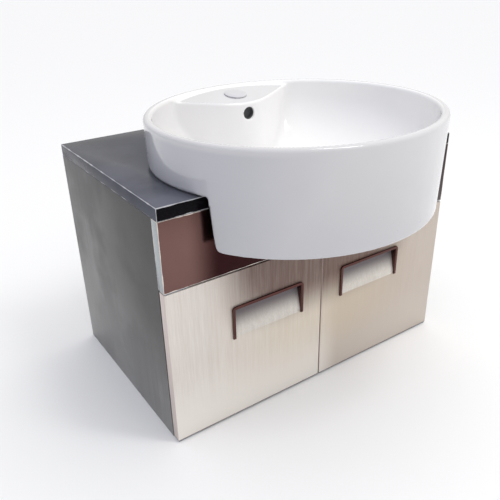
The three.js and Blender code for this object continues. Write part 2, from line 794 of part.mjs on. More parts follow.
// The conical mouth of a pivot plate's screw hole.
function countersink(z0) {
  const room = seatGap * Math.SQRT2;
  const profile = [
    [0, z0 - 1],
    [sunkHeadRadius + room, z0 - 1],
    [sunkHeadRadius + room, z0],
    [screwRadius + room, z0 + sunkHeadHeight],
    [0, z0 + sunkHeadHeight],
  ];
  return turned(profile, 12).translate(...pivotScrewPlace);
}

// An L-shaped plate: one arm in front of the side panel carries the pin, the other runs back over
// the bottom panel or under the front rail. Made about the hinge axis, like the door.
function pivotPlate(z0) {
  const carcass = carcassFront - pivotFromFront;
  const armInner = sideThickness - pivotFromEdge + seatGap;
  const outline = [
    [-pivotFromEdge + 1, doorFront + 1.5],
    [armInner + pivotPlateArm, doorFront + 1.5],
    [armInner + pivotPlateArm, carcass + pivotPlateReach],
    [armInner, carcass + pivotPlateReach],
    [armInner, carcass - seatGap],
    [-pivotFromEdge + 1, carcass - seatGap],
  ];
  const pinHole = uprightRod(0, 0, z0 - 1, z0 + pivotPlateThickness + 1, pinRadius + seatGap);
  const screwShankHole = screwHole(pivotScrewPlace, upright).translate(0, 0, z0);
  return cut(slab(outline, z0, z0 + pivotPlateThickness), pinHole, screwShankHole, countersink(z0));
}

function magnetCatch(side) {
  const inner = side * catchFromSeam;
  const outer = side * (catchFromSeam + catchWidth);
  const front = doorThickness + 2 * seatGap + strikeThickness;
  const head = fasciaFoot - seatGap;
  const [x0, x1] = [Math.min(inner, outer), Math.max(inner, outer)];
  return block([x0, front, head - catchHeight], [x1, front + catchDepth, head]);
}

// The steel strike on the back of a door, in the door's own frame.
function catchStrike() {
  const inner = doorInner + doorGap / 2 - catchFromSeam;
  const back = doorBack + seatGap;
  const head = doorTop - catchHeight * 0.2;
  return block(
    [inner - catchWidth * 0.8, back, head - catchHeight * 1.1],
    [inner - catchWidth * 0.1, back + strikeThickness, head],
  );
}

function addDoor(vanity, side, sideName) {
  const axisX = side * (halfWidth - pivotFromEdge);
  const door = partGroup(vanity, `${sideName}_door`, axisX, pivotFromFront, 0);
  const place = (name, geometry, material) => addPart(door, `${sideName}_${name}`, mirrored(geometry, side), material);
  place("door_skin", doorSkin(), champagneSteel);
  place("door_core", doorCore(), honeycomb);
  place("door_back", doorBackSheet(), satinSteel);
  place("door_scoop", doorScoop(), champagneSteel);
  place("pull_frame", pullFrame(), darkBronze);
  place("catch_strike", catchStrike(), zincSteel);
  const bushFoot = doorFoot - seatGap;
  const bushLength = pinEngagement + 2;
  place("lower_bush", pivotBush(bushFoot, bushFoot + bushLength), whiteNylon);
  place("upper_bush", pivotBush(doorTop + seatGap - bushLength, doorTop + seatGap), whiteNylon);

  const pivots = partGroup(vanity, `${sideName}_pivots`, axisX, pivotFromFront, 0);
  const fit = (name, geometry, material) => addPart(pivots, `${sideName}_${name}`, mirrored(geometry, side), material);
  const lowerPlateFoot = (doorGap - pivotPlateThickness) / 2;
  const upperPlateFoot = doorTop + lowerPlateFoot;
  fit("lower_pivot_plate", pivotPlate(lowerPlateFoot), zincSteel);
  fit("upper_pivot_plate", pivotPlate(upperPlateFoot), zincSteel);
  fit("lower_pivot_screw", pivotScrew(lowerPlateFoot), zincSteel);
  fit("upper_pivot_screw", pivotScrew(upperPlateFoot), zincSteel);
  fit("lower_pivot_pin", uprightRod(0, 0, lowerPlateFoot, doorFoot + pinEngagement, pinRadius), brightChrome);
  const upperPinFoot = doorTop - pinEngagement;
  const upperPinHead = upperPlateFoot + pivotPlateThickness;
  fit("upper_pivot_pin", uprightRod(0, 0, upperPinFoot, upperPinHead, pinRadius), brightChrome);
}

// ---------------------------------------------------------------- waste and trap

// Made about the drain's axis; heights are the vanity's own.
const flangeFoot = recessFloor + seatGap;
const flangeHead = flangeFoot + wasteFlangeThickness;
const wasteFoot = flangeFoot - wasteTubeLength;
const wasteBore = wasteTubeRadius - wasteTubeWall;
const gasketFoot = bossFoot - seatGap - gasketHeight;
const nutFoot = gasketFoot - seatGap - nutHeight;
const crossbarFoot = wasteFoot + 12;
const crossbarHeight = 6;
const trapOutletZ = wasteFoot - trapOutletBelowWaste;

function wasteBody() {
  const mouth = wasteBore + 7;
  const tube = turned([
    [wasteBore, wasteFoot],
    [wasteTubeRadius, wasteFoot],
    [wasteTubeRadius, flangeFoot],
    [wasteFlangeRadius, flangeFoot],
    [wasteFlangeRadius, flangeFoot + wasteFlangeThickness * 0.6],
    [wasteFlangeRadius - 2, flangeHead],
    [mouth, flangeHead],
    [wasteBore, flangeFoot - 4],
    [wasteBore, wasteFoot],
  ]);
  const windowFoot = bossFoot + 9;
  const windowSize = 10;
  const across = [
    [-wasteTubeRadius - 1, -windowSize / 2, windowFoot],
    [wasteTubeRadius + 1, windowSize / 2, windowFoot + windowSize],
  ];
  const along = across.map(([x, y, z]) => [y, x, z]);
  return cut(tube, block(...across), block(...along));
}

// The bridge pressed into the waste's foot. It guides the plug's stem.
function wasteBridge() {
  const head = crossbarFoot + crossbarHeight;
  const side = plugStemRadius + 2;
  const bar = block([-wasteBore, -side, crossbarFoot], [wasteBore, side, head]);
  const bridge = overlapOf(bar, uprightRod(0, 0, crossbarFoot - 1, head + 1, wasteBore - seatGap));
  return cut(bridge, uprightRod(0, 0, crossbarFoot - 1, head + 1, plugStemRadius + 0.6));
}

function wasteRing(outerRadius, z0, z1, sides) {
  const body = uprightRod(0, 0, z0, z1, outerRadius, sides);
  return cut(body, uprightRod(0, 0, z0 - 1, z1 + 1, wasteTubeRadius + seatGap));
}

function wastePlug() {
  const foot = flangeHead + seatGap;
  const head = foot + plugCapHeight;
  return turned([
    [0, crossbarFoot - 4],
    [plugStemRadius, crossbarFoot - 4],
    [plugStemRadius, foot - 9],
    [10, foot - 9],
    [10, foot],
    [plugCapRadius, foot],
    [plugCapRadius, foot + plugCapHeight * 0.35],
    [plugCapRadius - 2, foot + plugCapHeight * 0.62],
    [plugCapRadius * 0.6, head - plugCapHeight * 0.1],
    [0, head],
  ]);
}

function plugSeal() {
  const foot = flangeHead + seatGap;
  const inner = 10 + seatGap;
  const outer = wasteBore + 2;
  return turned([
    [inner, foot - 4.5],
    [outer - 2, foot - 4.5],
    [outer, foot - 3],
    [outer, foot - seatGap],
    [inner, foot - seatGap],
    [inner, foot - 4.5],
  ]);
}

function couplingNut() {
  const bore = pipeRadius + seatGap;
  const socket = wasteTubeRadius + seatGap;
  const outer = socket + 6;
  const foot = wasteFoot - 8;
  return turned([
    [bore, foot],
    [outer, foot],
    [outer, wasteFoot + 9],
    [socket, wasteFoot + 9],
    [socket, wasteFoot - seatGap],
    [bore, wasteFoot - seatGap],
    [bore, foot],
  ]);
}

const branchRadius = pipeRadius + seatGap + trapWall;
const trapHead = trapOutletZ + trapShoulder;
const trapFoot = trapOutletZ - branchRadius - 4 - trapCupGrip;

function inletPipe() {
  const foot = trapFoot - 12;
  const head = wasteFoot + 8;
  const inner = pipeRadius - pipeWall;
  return turned([[inner, foot], [pipeRadius, foot], [pipeRadius, head], [inner, head], [inner, foot]]);
}

function trapBody() {
  const inner = trapRadius - trapWall;
  const neck = pipeRadius + seatGap;
  const bottle = turned([
    [inner, trapFoot],
    [trapRadius, trapFoot],
    [trapRadius, trapHead - 14],
    [neck + 7, trapHead - 8],
    [neck + 7, trapHead],
    [neck, trapHead],
    [neck, trapHead - 11],
    [inner, trapHead - 17],
    [inner, trapFoot],
  ]);
  const branch = levelRod(0, trapOutletZ, inner - 1, trapRadius + 28, branchRadius);
  return cut(join(bottle, branch), levelRod(0, trapOutletZ, inner - 6, trapRadius + 30, neck));
}

function trapCup() {
  const foot = trapFoot + trapCupGrip - trapCupHeight;
  const head = trapFoot + trapCupGrip;
  const grip = trapRadius + seatGap;
  const inner = trapRadius - trapWall;
  return turned([
    [0, foot],
    [trapCupRadius - 8, foot],
    [trapCupRadius, foot + 10],
    [trapCupRadius, head],
    [grip, head],
    [grip, trapFoot - seatGap],
    [inner, trapFoot - seatGap],
    [inner, foot + 12],
    [inner - 8, foot + 4],
    [0, foot + 4],
  ]);
}

function outletNut() {
  const bore = pipeRadius + seatGap;
  const socket = pipeRadius + 2 * seatGap + trapWall;
  const outer = socket + 6;
  const branchEnd = trapRadius + 28;
  return turnedLevel([
    [bore, branchEnd + 8],
    [outer, branchEnd + 8],
    [outer, branchEnd - 12],
    [socket, branchEnd - 12],
    [socket, branchEnd + seatGap],
    [bore, branchEnd + seatGap],
    [bore, branchEnd + 8],
  ].reverse());
}

function outletPipe() {
  const inner = pipeRadius - pipeWall;
  const start = trapRadius + 8;
  const end = cabinetDepth - bowlMiddle;
  return turnedLevel([[inner, start], [pipeRadius, start], [pipeRadius, end], [inner, end], [inner, start]]);
}

function escutcheon() {
  const bore = pipeRadius + seatGap;
  const wall = cabinetDepth - bowlMiddle;
  return turnedLevel([
    [bore, wall - escutcheonThickness],
    [bore + 5, wall - escutcheonThickness],
    [escutcheonRadius, wall - 1.5],
    [escutcheonRadius, wall],
    [bore, wall],
    [bore, wall - escutcheonThickness],
  ]);
}

// ---------------------------------------------------------------- assembly

const root = new THREE.Group();
const vanity = partGroup(root, "vanity", 0, (basinProjection - cabinetDepth) / 2, 0);

addPart(vanity, "basin", basin(), glazedCeramic);
addPart(vanity, "basin_seal", basinSeal(), clearSilicone);
const cover = addPart(vanity, "tap_hole_cover", tapHoleCover(), whiteCap, [0, tapHoleY, tapHoleZ]);
cover.rotation.x = Math.atan(deckFall);

const cabinet = partGroup(vanity, "cabinet");
addPart(cabinet, "counter_top", counter(), blackStone);
addPart(cabinet, "fascia_panel", fascia(), mirrorBronze);
addPart(cabinet, "front_rail", frontRail(), satinSteel);
addPart(cabinet, "left_side_panel", sidePanel(-1), satinSteel);
addPart(cabinet, "right_side_panel", sidePanel(1), satinSteel);
addPart(cabinet, "bottom_panel", bottomPanel(), satinSteel);
addPart(cabinet, "back_panel", backPanel(), satinSteel);
addPart(cabinet, "hanging_rail", hangingRail(), satinSteel);

for (const [side, sideName] of [[-1, "left"], [1, "right"]]) {
  addPart(cabinet, `${sideName}_hanging_bracket`, hangingBracket(side), zincSteel);
  const bracketFace = carcassHalfInside - 2 * seatGap - bracketThickness;
  const sideScrewPlace = [side * bracketFace, bracketSideScrewY, bracketMiddle];
  const towardsSide = new THREE.Vector3(side, 0, 0);
  addPart(cabinet, `${sideName}_bracket_side_screw`, screw(towardsSide), zincSteel, sideScrewPlace);
  const railScrewPlace = [side * bracketRailScrewX, railFront - 2 * seatGap - bracketThickness, bracketMiddle];
  const towardsWall = new THREE.Vector3(0, 1, 0);
  addPart(cabinet, `${sideName}_bracket_rail_screw`, screw(towardsWall), zincSteel, railScrewPlace);
  addPart(cabinet, `${sideName}_catch`, magnetCatch(side), greyMagnet);
  addDoor(vanity, side, sideName);
}

const waste = partGroup(vanity, "waste", 0, bowlMiddle, 0);
addPart(waste, "waste_body", wasteBody(), brightChrome);
addPart(waste, "waste_bridge", wasteBridge(), brightChrome);
addPart(waste, "waste_gasket", wasteRing(drainBossRadius - 3, gasketFoot, gasketFoot + gasketHeight), blackRubber);
addPart(waste, "waste_nut", wasteRing(nutFlatRadius, nutFoot, nutFoot + nutHeight, 6), brightChrome);
addPart(waste, "waste_plug", wastePlug(), brightChrome);
addPart(waste, "plug_seal", plugSeal(), blackRubber);
addPart(waste, "coupling_nut", couplingNut(), whitePlastic);
addPart(waste, "trap_inlet_pipe", inletPipe(), whitePlastic);
addPart(waste, "trap_body", trapBody(), whitePlastic);
addPart(waste, "trap_cup", trapCup(), whitePlastic);
addPart(waste, "trap_outlet_nut", outletNut(), whitePlastic, [0, 0, trapOutletZ]);
addPart(waste, "outlet_pipe", outletPipe(), whitePlastic, [0, 0, trapOutletZ]);
addPart(waste, "wall_escutcheon", escutcheon(), brightChrome, [0, 0, trapOutletZ]);

export default root;
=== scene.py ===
"""Visual model of a wall-hung vanity with a round basin let into its counter.

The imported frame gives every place. Lengths are in metres, +X is to the right of a person facing the
vanity, +Y runs back to the wall and +Z is up.
"""

from __future__ import annotations

import logging
import math
from collections.abc import Callable, Sequence
from dataclasses import dataclass, field
from enum import Enum

import bmesh
import bpy
import numpy as np
from mathutils import Matrix, Vector


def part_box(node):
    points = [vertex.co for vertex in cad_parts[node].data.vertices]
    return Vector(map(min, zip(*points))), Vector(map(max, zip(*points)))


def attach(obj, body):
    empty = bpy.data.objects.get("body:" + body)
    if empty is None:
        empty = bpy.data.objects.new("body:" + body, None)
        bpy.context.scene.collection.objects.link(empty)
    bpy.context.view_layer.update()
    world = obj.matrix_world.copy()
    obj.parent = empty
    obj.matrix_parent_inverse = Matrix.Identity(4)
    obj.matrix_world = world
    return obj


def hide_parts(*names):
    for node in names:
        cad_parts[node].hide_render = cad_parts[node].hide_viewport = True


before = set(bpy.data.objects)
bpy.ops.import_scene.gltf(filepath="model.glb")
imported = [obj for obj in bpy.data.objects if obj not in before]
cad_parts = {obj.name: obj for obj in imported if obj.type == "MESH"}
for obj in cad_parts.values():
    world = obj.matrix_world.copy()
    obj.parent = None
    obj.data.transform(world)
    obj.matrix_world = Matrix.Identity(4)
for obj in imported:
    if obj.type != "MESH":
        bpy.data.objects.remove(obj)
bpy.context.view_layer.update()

log = logging.getLogger("vanity")

Point = tuple[float, float, float]
Colour = tuple[float, float, float, float]
Profile = list[tuple[float, float]]
Value = bpy.types.NodeSocket | float | tuple[float, ...]


def shade(red: int, green: int, blue: int) -> Colour:
    """Turns a colour of 0 to 255 per channel, as on a screen, into scene light."""
    def lit(channel: int) -> float:
        """One channel as light."""
        share = channel / 255
        return share / 12.92 if share <= 0.04045 else ((share + 0.055) / 1.055) ** 2.4

    return (lit(red), lit(green), lit(blue), 1.0)


# ---------------------------------------------------------------- shader trees


class Graph:
    """Short ways to add and join the nodes of one shader tree."""

    def __init__(self, tree: bpy.types.NodeTree) -> None:
        """Keeps the tree that the nodes go into."""
        self.tree = tree

    def node(self, kind: str, **settings: object) -> bpy.types.Node:
        """Adds a node.

        Args:
            kind: the node's type name.
            settings: its properties.

        Returns:
            The new node.
        """
        made = self.tree.nodes.new(kind)
        for name, value in settings.items():
            setattr(made, name, value)
        return made

    def feed(self, socket: bpy.types.NodeSocket, value: Value) -> None:
        """Joins a socket to another one, or sets its plain value."""
        if isinstance(value, bpy.types.NodeSocket):
            self.tree.links.new(value, socket)
        else:
            socket.default_value = value

    def calc(self, operation: str, *values: Value, clamp: bool = False) -> bpy.types.NodeSocket:
        """Adds a Math node and returns its result."""
        made = self.node("ShaderNodeMath", operation=operation, use_clamp=clamp)
        for socket, value in zip(made.inputs, values):
            self.feed(socket, value)
        return made.outputs[0]

    def vector(self, operation: str, *values: Value) -> bpy.types.NodeSocket:
        """Adds a Vector Math node and returns its vector."""
        made = self.node("ShaderNodeVectorMath", operation=operation)
        for socket, value in zip(made.inputs, values):
            self.feed(socket, value)
        return made.outputs[0]

    def remap(
        self, value: Value, low: Value, high: Value, to_low: float = 0.0, to_high: float = 1.0
    ) -> bpy.types.NodeSocket:
        """Maps a value softly from one span to another.

        Args:
            value: what is mapped.
            low: the value that gives to_low.
            high: the value that gives to_high.
            to_low: the result at low.
            to_high: the result at high.

        Returns:
            The mapped value.
        """
        made = self.node("ShaderNodeMapRange", interpolation_type="SMOOTHSTEP")
        for socket, given in zip(made.inputs, (value, low, high, to_low, to_high)):
            self.feed(socket, given)
        return made.outputs[0]

    def mix(self, share: Value, low: Value, high: Value) -> bpy.types.NodeSocket:
        """Mixes two colours and returns the result."""
        made = self.node("ShaderNodeMix", data_type="RGBA")
        self.feed(made.inputs[0], share)
        self.feed(made.inputs[6], low)
        self.feed(made.inputs[7], high)
        return made.outputs[2]

    def noise(self, at: Value, scale: Value, detail: float = 3.0) -> bpy.types.NodeSocket:
        """Adds a noise texture and returns its value."""
        made = self.node("ShaderNodeTexNoise")
        self.feed(made.inputs["Vector"], at)
        self.feed(made.inputs["Scale"], scale)
        made.inputs["Detail"].default_value = detail
        return made.outputs[0]

    def place(self) -> bpy.types.NodeSocket:
        """Gives the point's place on its own piece."""
        return self.node("ShaderNodeTexCoord").outputs["Object"]

    def own_normal(self) -> bpy.types.NodeSocket:
        """Gives the surface's normal along the piece's own axes, so it turns with the piece."""
        turned = self.node(
            "ShaderNodeVectorTransform", vector_type="NORMAL", convert_from="WORLD", convert_to="OBJECT"
        )
        self.feed(turned.inputs[0], self.node("ShaderNodeNewGeometry").outputs["Normal"])
        return turned.outputs[0]

    def parts(self, vector: Value) -> tuple[bpy.types.NodeSocket, ...]:
        """Splits a vector into its three numbers."""
        made = self.node("ShaderNodeSeparateXYZ")
        self.feed(made.inputs[0], vector)
        return tuple(made.outputs)

    def group(self, tree: bpy.types.NodeTree, **values: Value) -> bpy.types.Node:
        """Places a shared effect.

        Args:
            tree: the effect.
            values: its inputs, with underscores for spaces.

        Returns:
            The group node.
        """
        made = self.node("ShaderNodeGroup")
        made.node_tree = tree
        for name, value in values.items():
            self.feed(made.inputs[name.replace("_", " ").capitalize()], value)
        return made


FLOAT = "NodeSocketFloat"
VECTOR = "NodeSocketVector"


def effect(
    name: str,
    inputs: dict[str, tuple[str, float | Point]],
    outputs: Sequence[str],
    wire: Callable[[Graph, bpy.types.Node, bpy.types.Node], None],
) -> bpy.types.NodeTree:
    """Makes a shared effect as a node group, once.

    Args:
        name: the group's name.
        inputs: for each input, its socket type and its default.
        outputs: the names of the values that it puts out.
        wire: joins its nodes, given the graph and the group's input and output nodes.

    Returns:
        The group.
    """
    if name in bpy.data.node_groups:
        return bpy.data.node_groups[name]
    tree = bpy.data.node_groups.new(name, "ShaderNodeTree")
    for label, (kind, default) in inputs.items():
        tree.interface.new_socket(label, in_out="INPUT", socket_type=kind).default_value = default
    for label in outputs:
        tree.interface.new_socket(label, in_out="OUTPUT", socket_type=FLOAT)
    graph = Graph(tree)
    wire(graph, graph.node("NodeGroupInput"), graph.node("NodeGroupOutput"))
    return tree


def drawn_grain() -> bpy.types.NodeTree:
    """Fine lines drawn along one direction, as brushing leaves them."""
    def wire(graph: Graph, given: bpy.types.Node, result: bpy.types.Node) -> None:
        """Stretches two noises along the grain and adds them."""
        along = graph.vector("MULTIPLY", graph.place(), given.outputs["Pitch"])
        fine = graph.noise(along, 1.0, 2.0)
        broad = graph.noise(graph.vector("MULTIPLY", along, (0.17, 0.17, 0.17)), 1.0, 3.0)
        fine_share = graph.calc("MULTIPLY", fine, 0.6)
        both = graph.calc("MULTIPLY_ADD", broad, 0.4, fine_share)
        graph.feed(result.inputs["Tone"], graph.remap(both, 0.34, 0.66))
        graph.feed(result.inputs["Height"], fine)

    return effect("Drawn grain", {"Pitch": (VECTOR, (900.0, 900.0, 14.0))}, ("Tone", "Height"), wire)


def cloudiness() -> bpy.types.NodeTree:
    """Slow, soft unevenness, as handling and cleaning leave it."""
    def wire(graph: Graph, given: bpy.types.Node, result: bpy.types.Node) -> None:
        """Stretches one slow noise over the full range."""
        slow = graph.noise(graph.place(), given.outputs["Scale"], 4.0)
        graph.feed(result.inputs["Tone"], graph.remap(slow, 0.32, 0.68))

    return effect("Cloudiness", {"Scale": (FLOAT, 6.0)}, ("Tone",), wire)


def arris_wear() -> bpy.types.NodeTree:
    """Wear along the edges of a box, ragged where it has been knocked."""
    def wire(graph: Graph, given: bpy.types.Node, result: bpy.types.Node) -> None:
        """Finds how far a point is from the nearest edge of the box."""
        place = graph.place()
        from_low = graph.vector("SUBTRACT", place, given.outputs["Low corner"])
        from_high = graph.vector("SUBTRACT", given.outputs["High corner"], place)
        inward = graph.vector("MINIMUM", from_low, from_high)
        x, y, z = graph.parts(inward)
        least_xy = graph.calc("MINIMUM", x, y)
        most_xy = graph.calc("MAXIMUM", x, y)
        from_edge = graph.calc("MAXIMUM", least_xy, graph.calc("MINIMUM", most_xy, z))
        knocks = graph.remap(graph.noise(place, 46.0, 5.0), 0.4, 0.8, 0.6, 2.2)
        width = graph.calc("MULTIPLY", given.outputs["Width"], knocks)
        graph.feed(result.inputs["Wear"], graph.remap(from_edge, width, graph.calc("MULTIPLY", width, 0.45)))

    sockets = {
        "Low corner": (VECTOR, (0.0, 0.0, 0.0)),
        "High corner": (VECTOR, (1.0, 1.0, 1.0)),
        "Width": (FLOAT, 0.001),
    }
    return effect("Arris wear", sockets, ("Wear",), wire)


def fine_marks() -> bpy.types.NodeTree:
    """Small pits and specks."""
    def wire(graph: Graph, given: bpy.types.Node, result: bpy.types.Node) -> None:
        """Keeps the peaks of a fine noise."""
        fine = graph.noise(graph.place(), given.outputs["Scale"], 2.0)
        graph.feed(result.inputs["Specks"], graph.remap(fine, 0.6, 0.76))
        graph.feed(result.inputs["Height"], fine)

    return effect("Fine marks", {"Scale": (FLOAT, 900.0)}, ("Specks", "Height"), wire)


def basin_shade() -> bpy.types.NodeTree:
    """Painted shade: the soft brown shade that the basin throws on what is under and behind it, and a painted glow
    just beyond it.
    """
    def wire(graph: Graph, given: bpy.types.Node, result: bpy.types.Node) -> None:
        """Measures how far a point is from the middle of the basin's foot, as an oval."""
        x, _, z = graph.parts(graph.place())
        across = graph.calc("ABSOLUTE", graph.calc("DIVIDE", x, given.outputs["Half width"]))
        under = graph.calc("MAXIMUM", graph.calc("SUBTRACT", given.outputs["Level"], z), 0.0)
        down = graph.calc("DIVIDE", under, given.outputs["Drop"])
        fourths = graph.calc("ADD", graph.calc("POWER", across, 4.0), graph.calc("POWER", down, 4.0))
        away = graph.calc("POWER", fourths, 0.25)
        graph.feed(result.inputs["Shade"], graph.remap(away, 1.04, 0.62))
        # Glow is painted light: a warm band drawn just beyond the shade, near the middle.
        outer = graph.remap(away, 1.7, 1.05)
        central = graph.remap(graph.calc("ABSOLUTE", x), 0.26, 0.04)
        graph.feed(result.inputs["Glow"], graph.calc("MULTIPLY", outer, central))

    sockets = {"Half width": (FLOAT, 0.225), "Level": (FLOAT, 0.335), "Drop": (FLOAT, 0.19)}
    return effect("Basin shade", sockets, ("Shade", "Glow"), wire)


def facing(graph: Graph, axis: int, low: float, high: float) -> bpy.types.NodeSocket:
    """A mask of the faces that look along an axis, either way.

    Args:
        graph: the material's tree.
        axis: 0, 1 or 2.
        low: the share of the normal at which the mask starts.
        high: the share at which it is full.

    Returns:
        The mask.
    """
    normal = graph.parts(graph.own_normal())
    return graph.remap(graph.calc("ABSOLUTE", normal[axis]), low, high)


# ---------------------------------------------------------------- finishes


@dataclass(frozen=True)
class Finish:
    """A finish: its name, its slot and its shader's plain values."""

    name: str
    slot: str
    colour: Colour
    roughness: float = 0.4
    metallic: float = 0.0
    coat: float = 0.0
    coat_roughness: float = 0.05
    specular: float = 0.5

    def material(self) -> bpy.types.Material:
        """The finish as a material, made once."""
        if self.name in bpy.data.materials:
            return bpy.data.materials[self.name]
        made = bpy.data.materials.new(self.name)
        made.use_nodes = True
        made.diffuse_color = self.colour
        shader = made.node_tree.nodes["Principled BSDF"]
        shader.inputs["Base Color"].default_value = self.colour
        shader.inputs["Roughness"].default_value = self.roughness
        shader.inputs["Metallic"].default_value = self.metallic
        shader.inputs["Coat Weight"].default_value = self.coat
        shader.inputs["Coat Roughness"].default_value = self.coat_roughness
        shader.inputs["Specular IOR Level"].default_value = self.specular
        self.dress(Graph(made.node_tree), shader)
        return made

    def dress(self, graph: Graph, shader: bpy.types.Node) -> None:
        """Adds what varies over the surface. Each finish says how."""
        raise NotImplementedError

    def bump(self, graph: Graph, shader: bpy.types.Node, height: Value, depth: float) -> None:
        """Raises the surface.

        Args:
            graph: the material's tree.
            shader: its Principled node.
            height: where the surface is high, from 0 to 1.
            depth: how high, in metres.
        """
        made = graph.node("ShaderNodeBump")
        made.inputs["Distance"].default_value = depth
        graph.feed(made.inputs["Height"], height)
        graph.feed(shader.inputs["Normal"], made.outputs["Normal"])


@dataclass(frozen=True)
class Glaze(Finish):
    """Fired white glaze, slightly uneven, with painted light inside the bowl and painted shade down the outside."""

    warm: Colour = (0.8, 0.78, 0.76, 1.0)
    # Painted light: the whiter colour drawn inside the bowl.
    bowl: Colour = (0.9, 0.9, 0.9, 1.0)
    # Painted shade: the cooler, darker colour drawn down the outside.
    apron: Colour = (0.6, 0.6, 0.62, 1.0)
    middle: float = -0.035
    rim: float = 0.47
    foot: float = 0.3

    def dress(self, graph: Graph, shader: bpy.types.Node) -> None:
        """Gives the glaze its tones, painted light that whitens the bowl and painted shade that makes the outside
        cooler and darker downwards and towards the sides, its sheen and its waves.
        """
        tone = graph.group(cloudiness(), scale=5.0).outputs["Tone"]
        even = graph.mix(tone, self.colour, self.warm)
        x, y, z = graph.parts(graph.place())
        back = graph.calc("SUBTRACT", y, self.middle)
        normal_x, normal_y, _ = graph.parts(graph.own_normal())
        outward = graph.calc("ADD", graph.calc("MULTIPLY", normal_x, x), graph.calc("MULTIPLY", normal_y, back))
        outer = graph.remap(outward, 0.03, 0.11)
        inner = graph.remap(outward, -0.04, -0.1)
        under_rim = graph.remap(z, self.rim, self.rim - 0.012)
        sunk = graph.calc("MULTIPLY", under_rim, graph.remap(outward, 0.06, 0.02))
        far = graph.remap(graph.calc("ADD", x, back), -0.1, 0.2, 0.4, 1.0)
        # Painted light: the inside of the bowl and under the rim drawn whiter, most at the far side.
        bowl = graph.mix(graph.calc("MULTIPLY", graph.calc("MAXIMUM", inner, sunk), far), even, self.bowl)
        # Painted shade: the outside drawn cooler and darker downwards and towards both sides, not near the top of the
        # rim.
        lower = graph.remap(z, self.rim, self.foot, 0.0, 0.4)
        shaded_sides = graph.remap(graph.calc("ABSOLUTE", x), 0.09, 0.23, 0.0, 0.6)
        painted_outer_shade = graph.calc("MULTIPLY", outer, graph.calc("MAXIMUM", lower, shaded_sides))
        painted_outer_shade = graph.calc("MULTIPLY", painted_outer_shade, graph.remap(z, self.rim + 0.022, self.rim + 0.012))
        graph.feed(shader.inputs["Base Color"], graph.mix(painted_outer_shade, bowl, self.apron))
        sheen = graph.group(cloudiness(), scale=17.0).outputs["Tone"]
        graph.feed(shader.inputs["Roughness"], graph.remap(sheen, 0.0, 1.0, self.roughness, self.roughness * 1.7))
        self.bump(graph, shader, graph.noise(graph.place(), 38.0, 1.0), 0.00009)


@dataclass(frozen=True)
class PolishedSlab(Finish):
    """Polished dark slab with pale, knocked arrises and a pale haze on its top and ends that is partly dusty and
    partly painted sheen.
    """

    speck: Colour = (0.1, 0.1, 0.11, 1.0)
    dust_and_sheen_colour: Colour = (0.1, 0.1, 0.12, 1.0)
    worn: Colour = (0.5, 0.5, 0.52, 1.0)
    low: Point = (0.0, 0.0, 0.0)
    high: Point = (1.0, 1.0, 1.0)
    wear_width: float = 0.0014

    def dress(self, graph: Graph, shader: bpy.types.Node) -> None:
        """Adds the specks, the pale arrises, the wiped look of the polish and the pale haze on the top and ends,
        partly dusty and partly painted sheen, fading towards the back.
        """
        specks = graph.group(fine_marks(), scale=1400.0).outputs["Specks"]
        wiped = graph.group(cloudiness(), scale=11.0).outputs["Tone"]
        _, y, _ = graph.parts(graph.place())
        # The pale haze is partly dusty and partly painted sheen: fullest at the front and on the top, weaker on the
        # ends and towards the back.
        forward = graph.remap(y, self.high[1], self.low[1], 0.45, 1.0)
        cloudy = graph.remap(wiped, 0.0, 1.0, 0.7, 0.95)
        ends = graph.calc("MULTIPLY", facing(graph, 0, 0.6, 0.95), 0.7)
        level = graph.calc("MAXIMUM", facing(graph, 2, 0.6, 0.95), ends)
        dust_and_sheen = graph.calc("MULTIPLY", level, cloudy)
        dust_and_sheen = graph.calc("MULTIPLY", dust_and_sheen, forward)
        polished = graph.mix(dust_and_sheen, self.colour, self.dust_and_sheen_colour)
        ground = graph.mix(graph.calc("MULTIPLY", specks, 0.35), polished, self.speck)
        edges = graph.group(arris_wear(), low_corner=self.low, high_corner=self.high, width=self.wear_width)
        wear = edges.outputs["Wear"]
        graph.feed(shader.inputs["Base Color"], graph.mix(wear, ground, self.worn))
        polish = graph.remap(wiped, 0.0, 1.0, self.roughness * 0.75, self.roughness * 1.5)
        graph.feed(shader.inputs["Roughness"], graph.calc("MULTIPLY_ADD", wear, 0.3, polish))
        self.bump(graph, shader, specks, 0.00002)


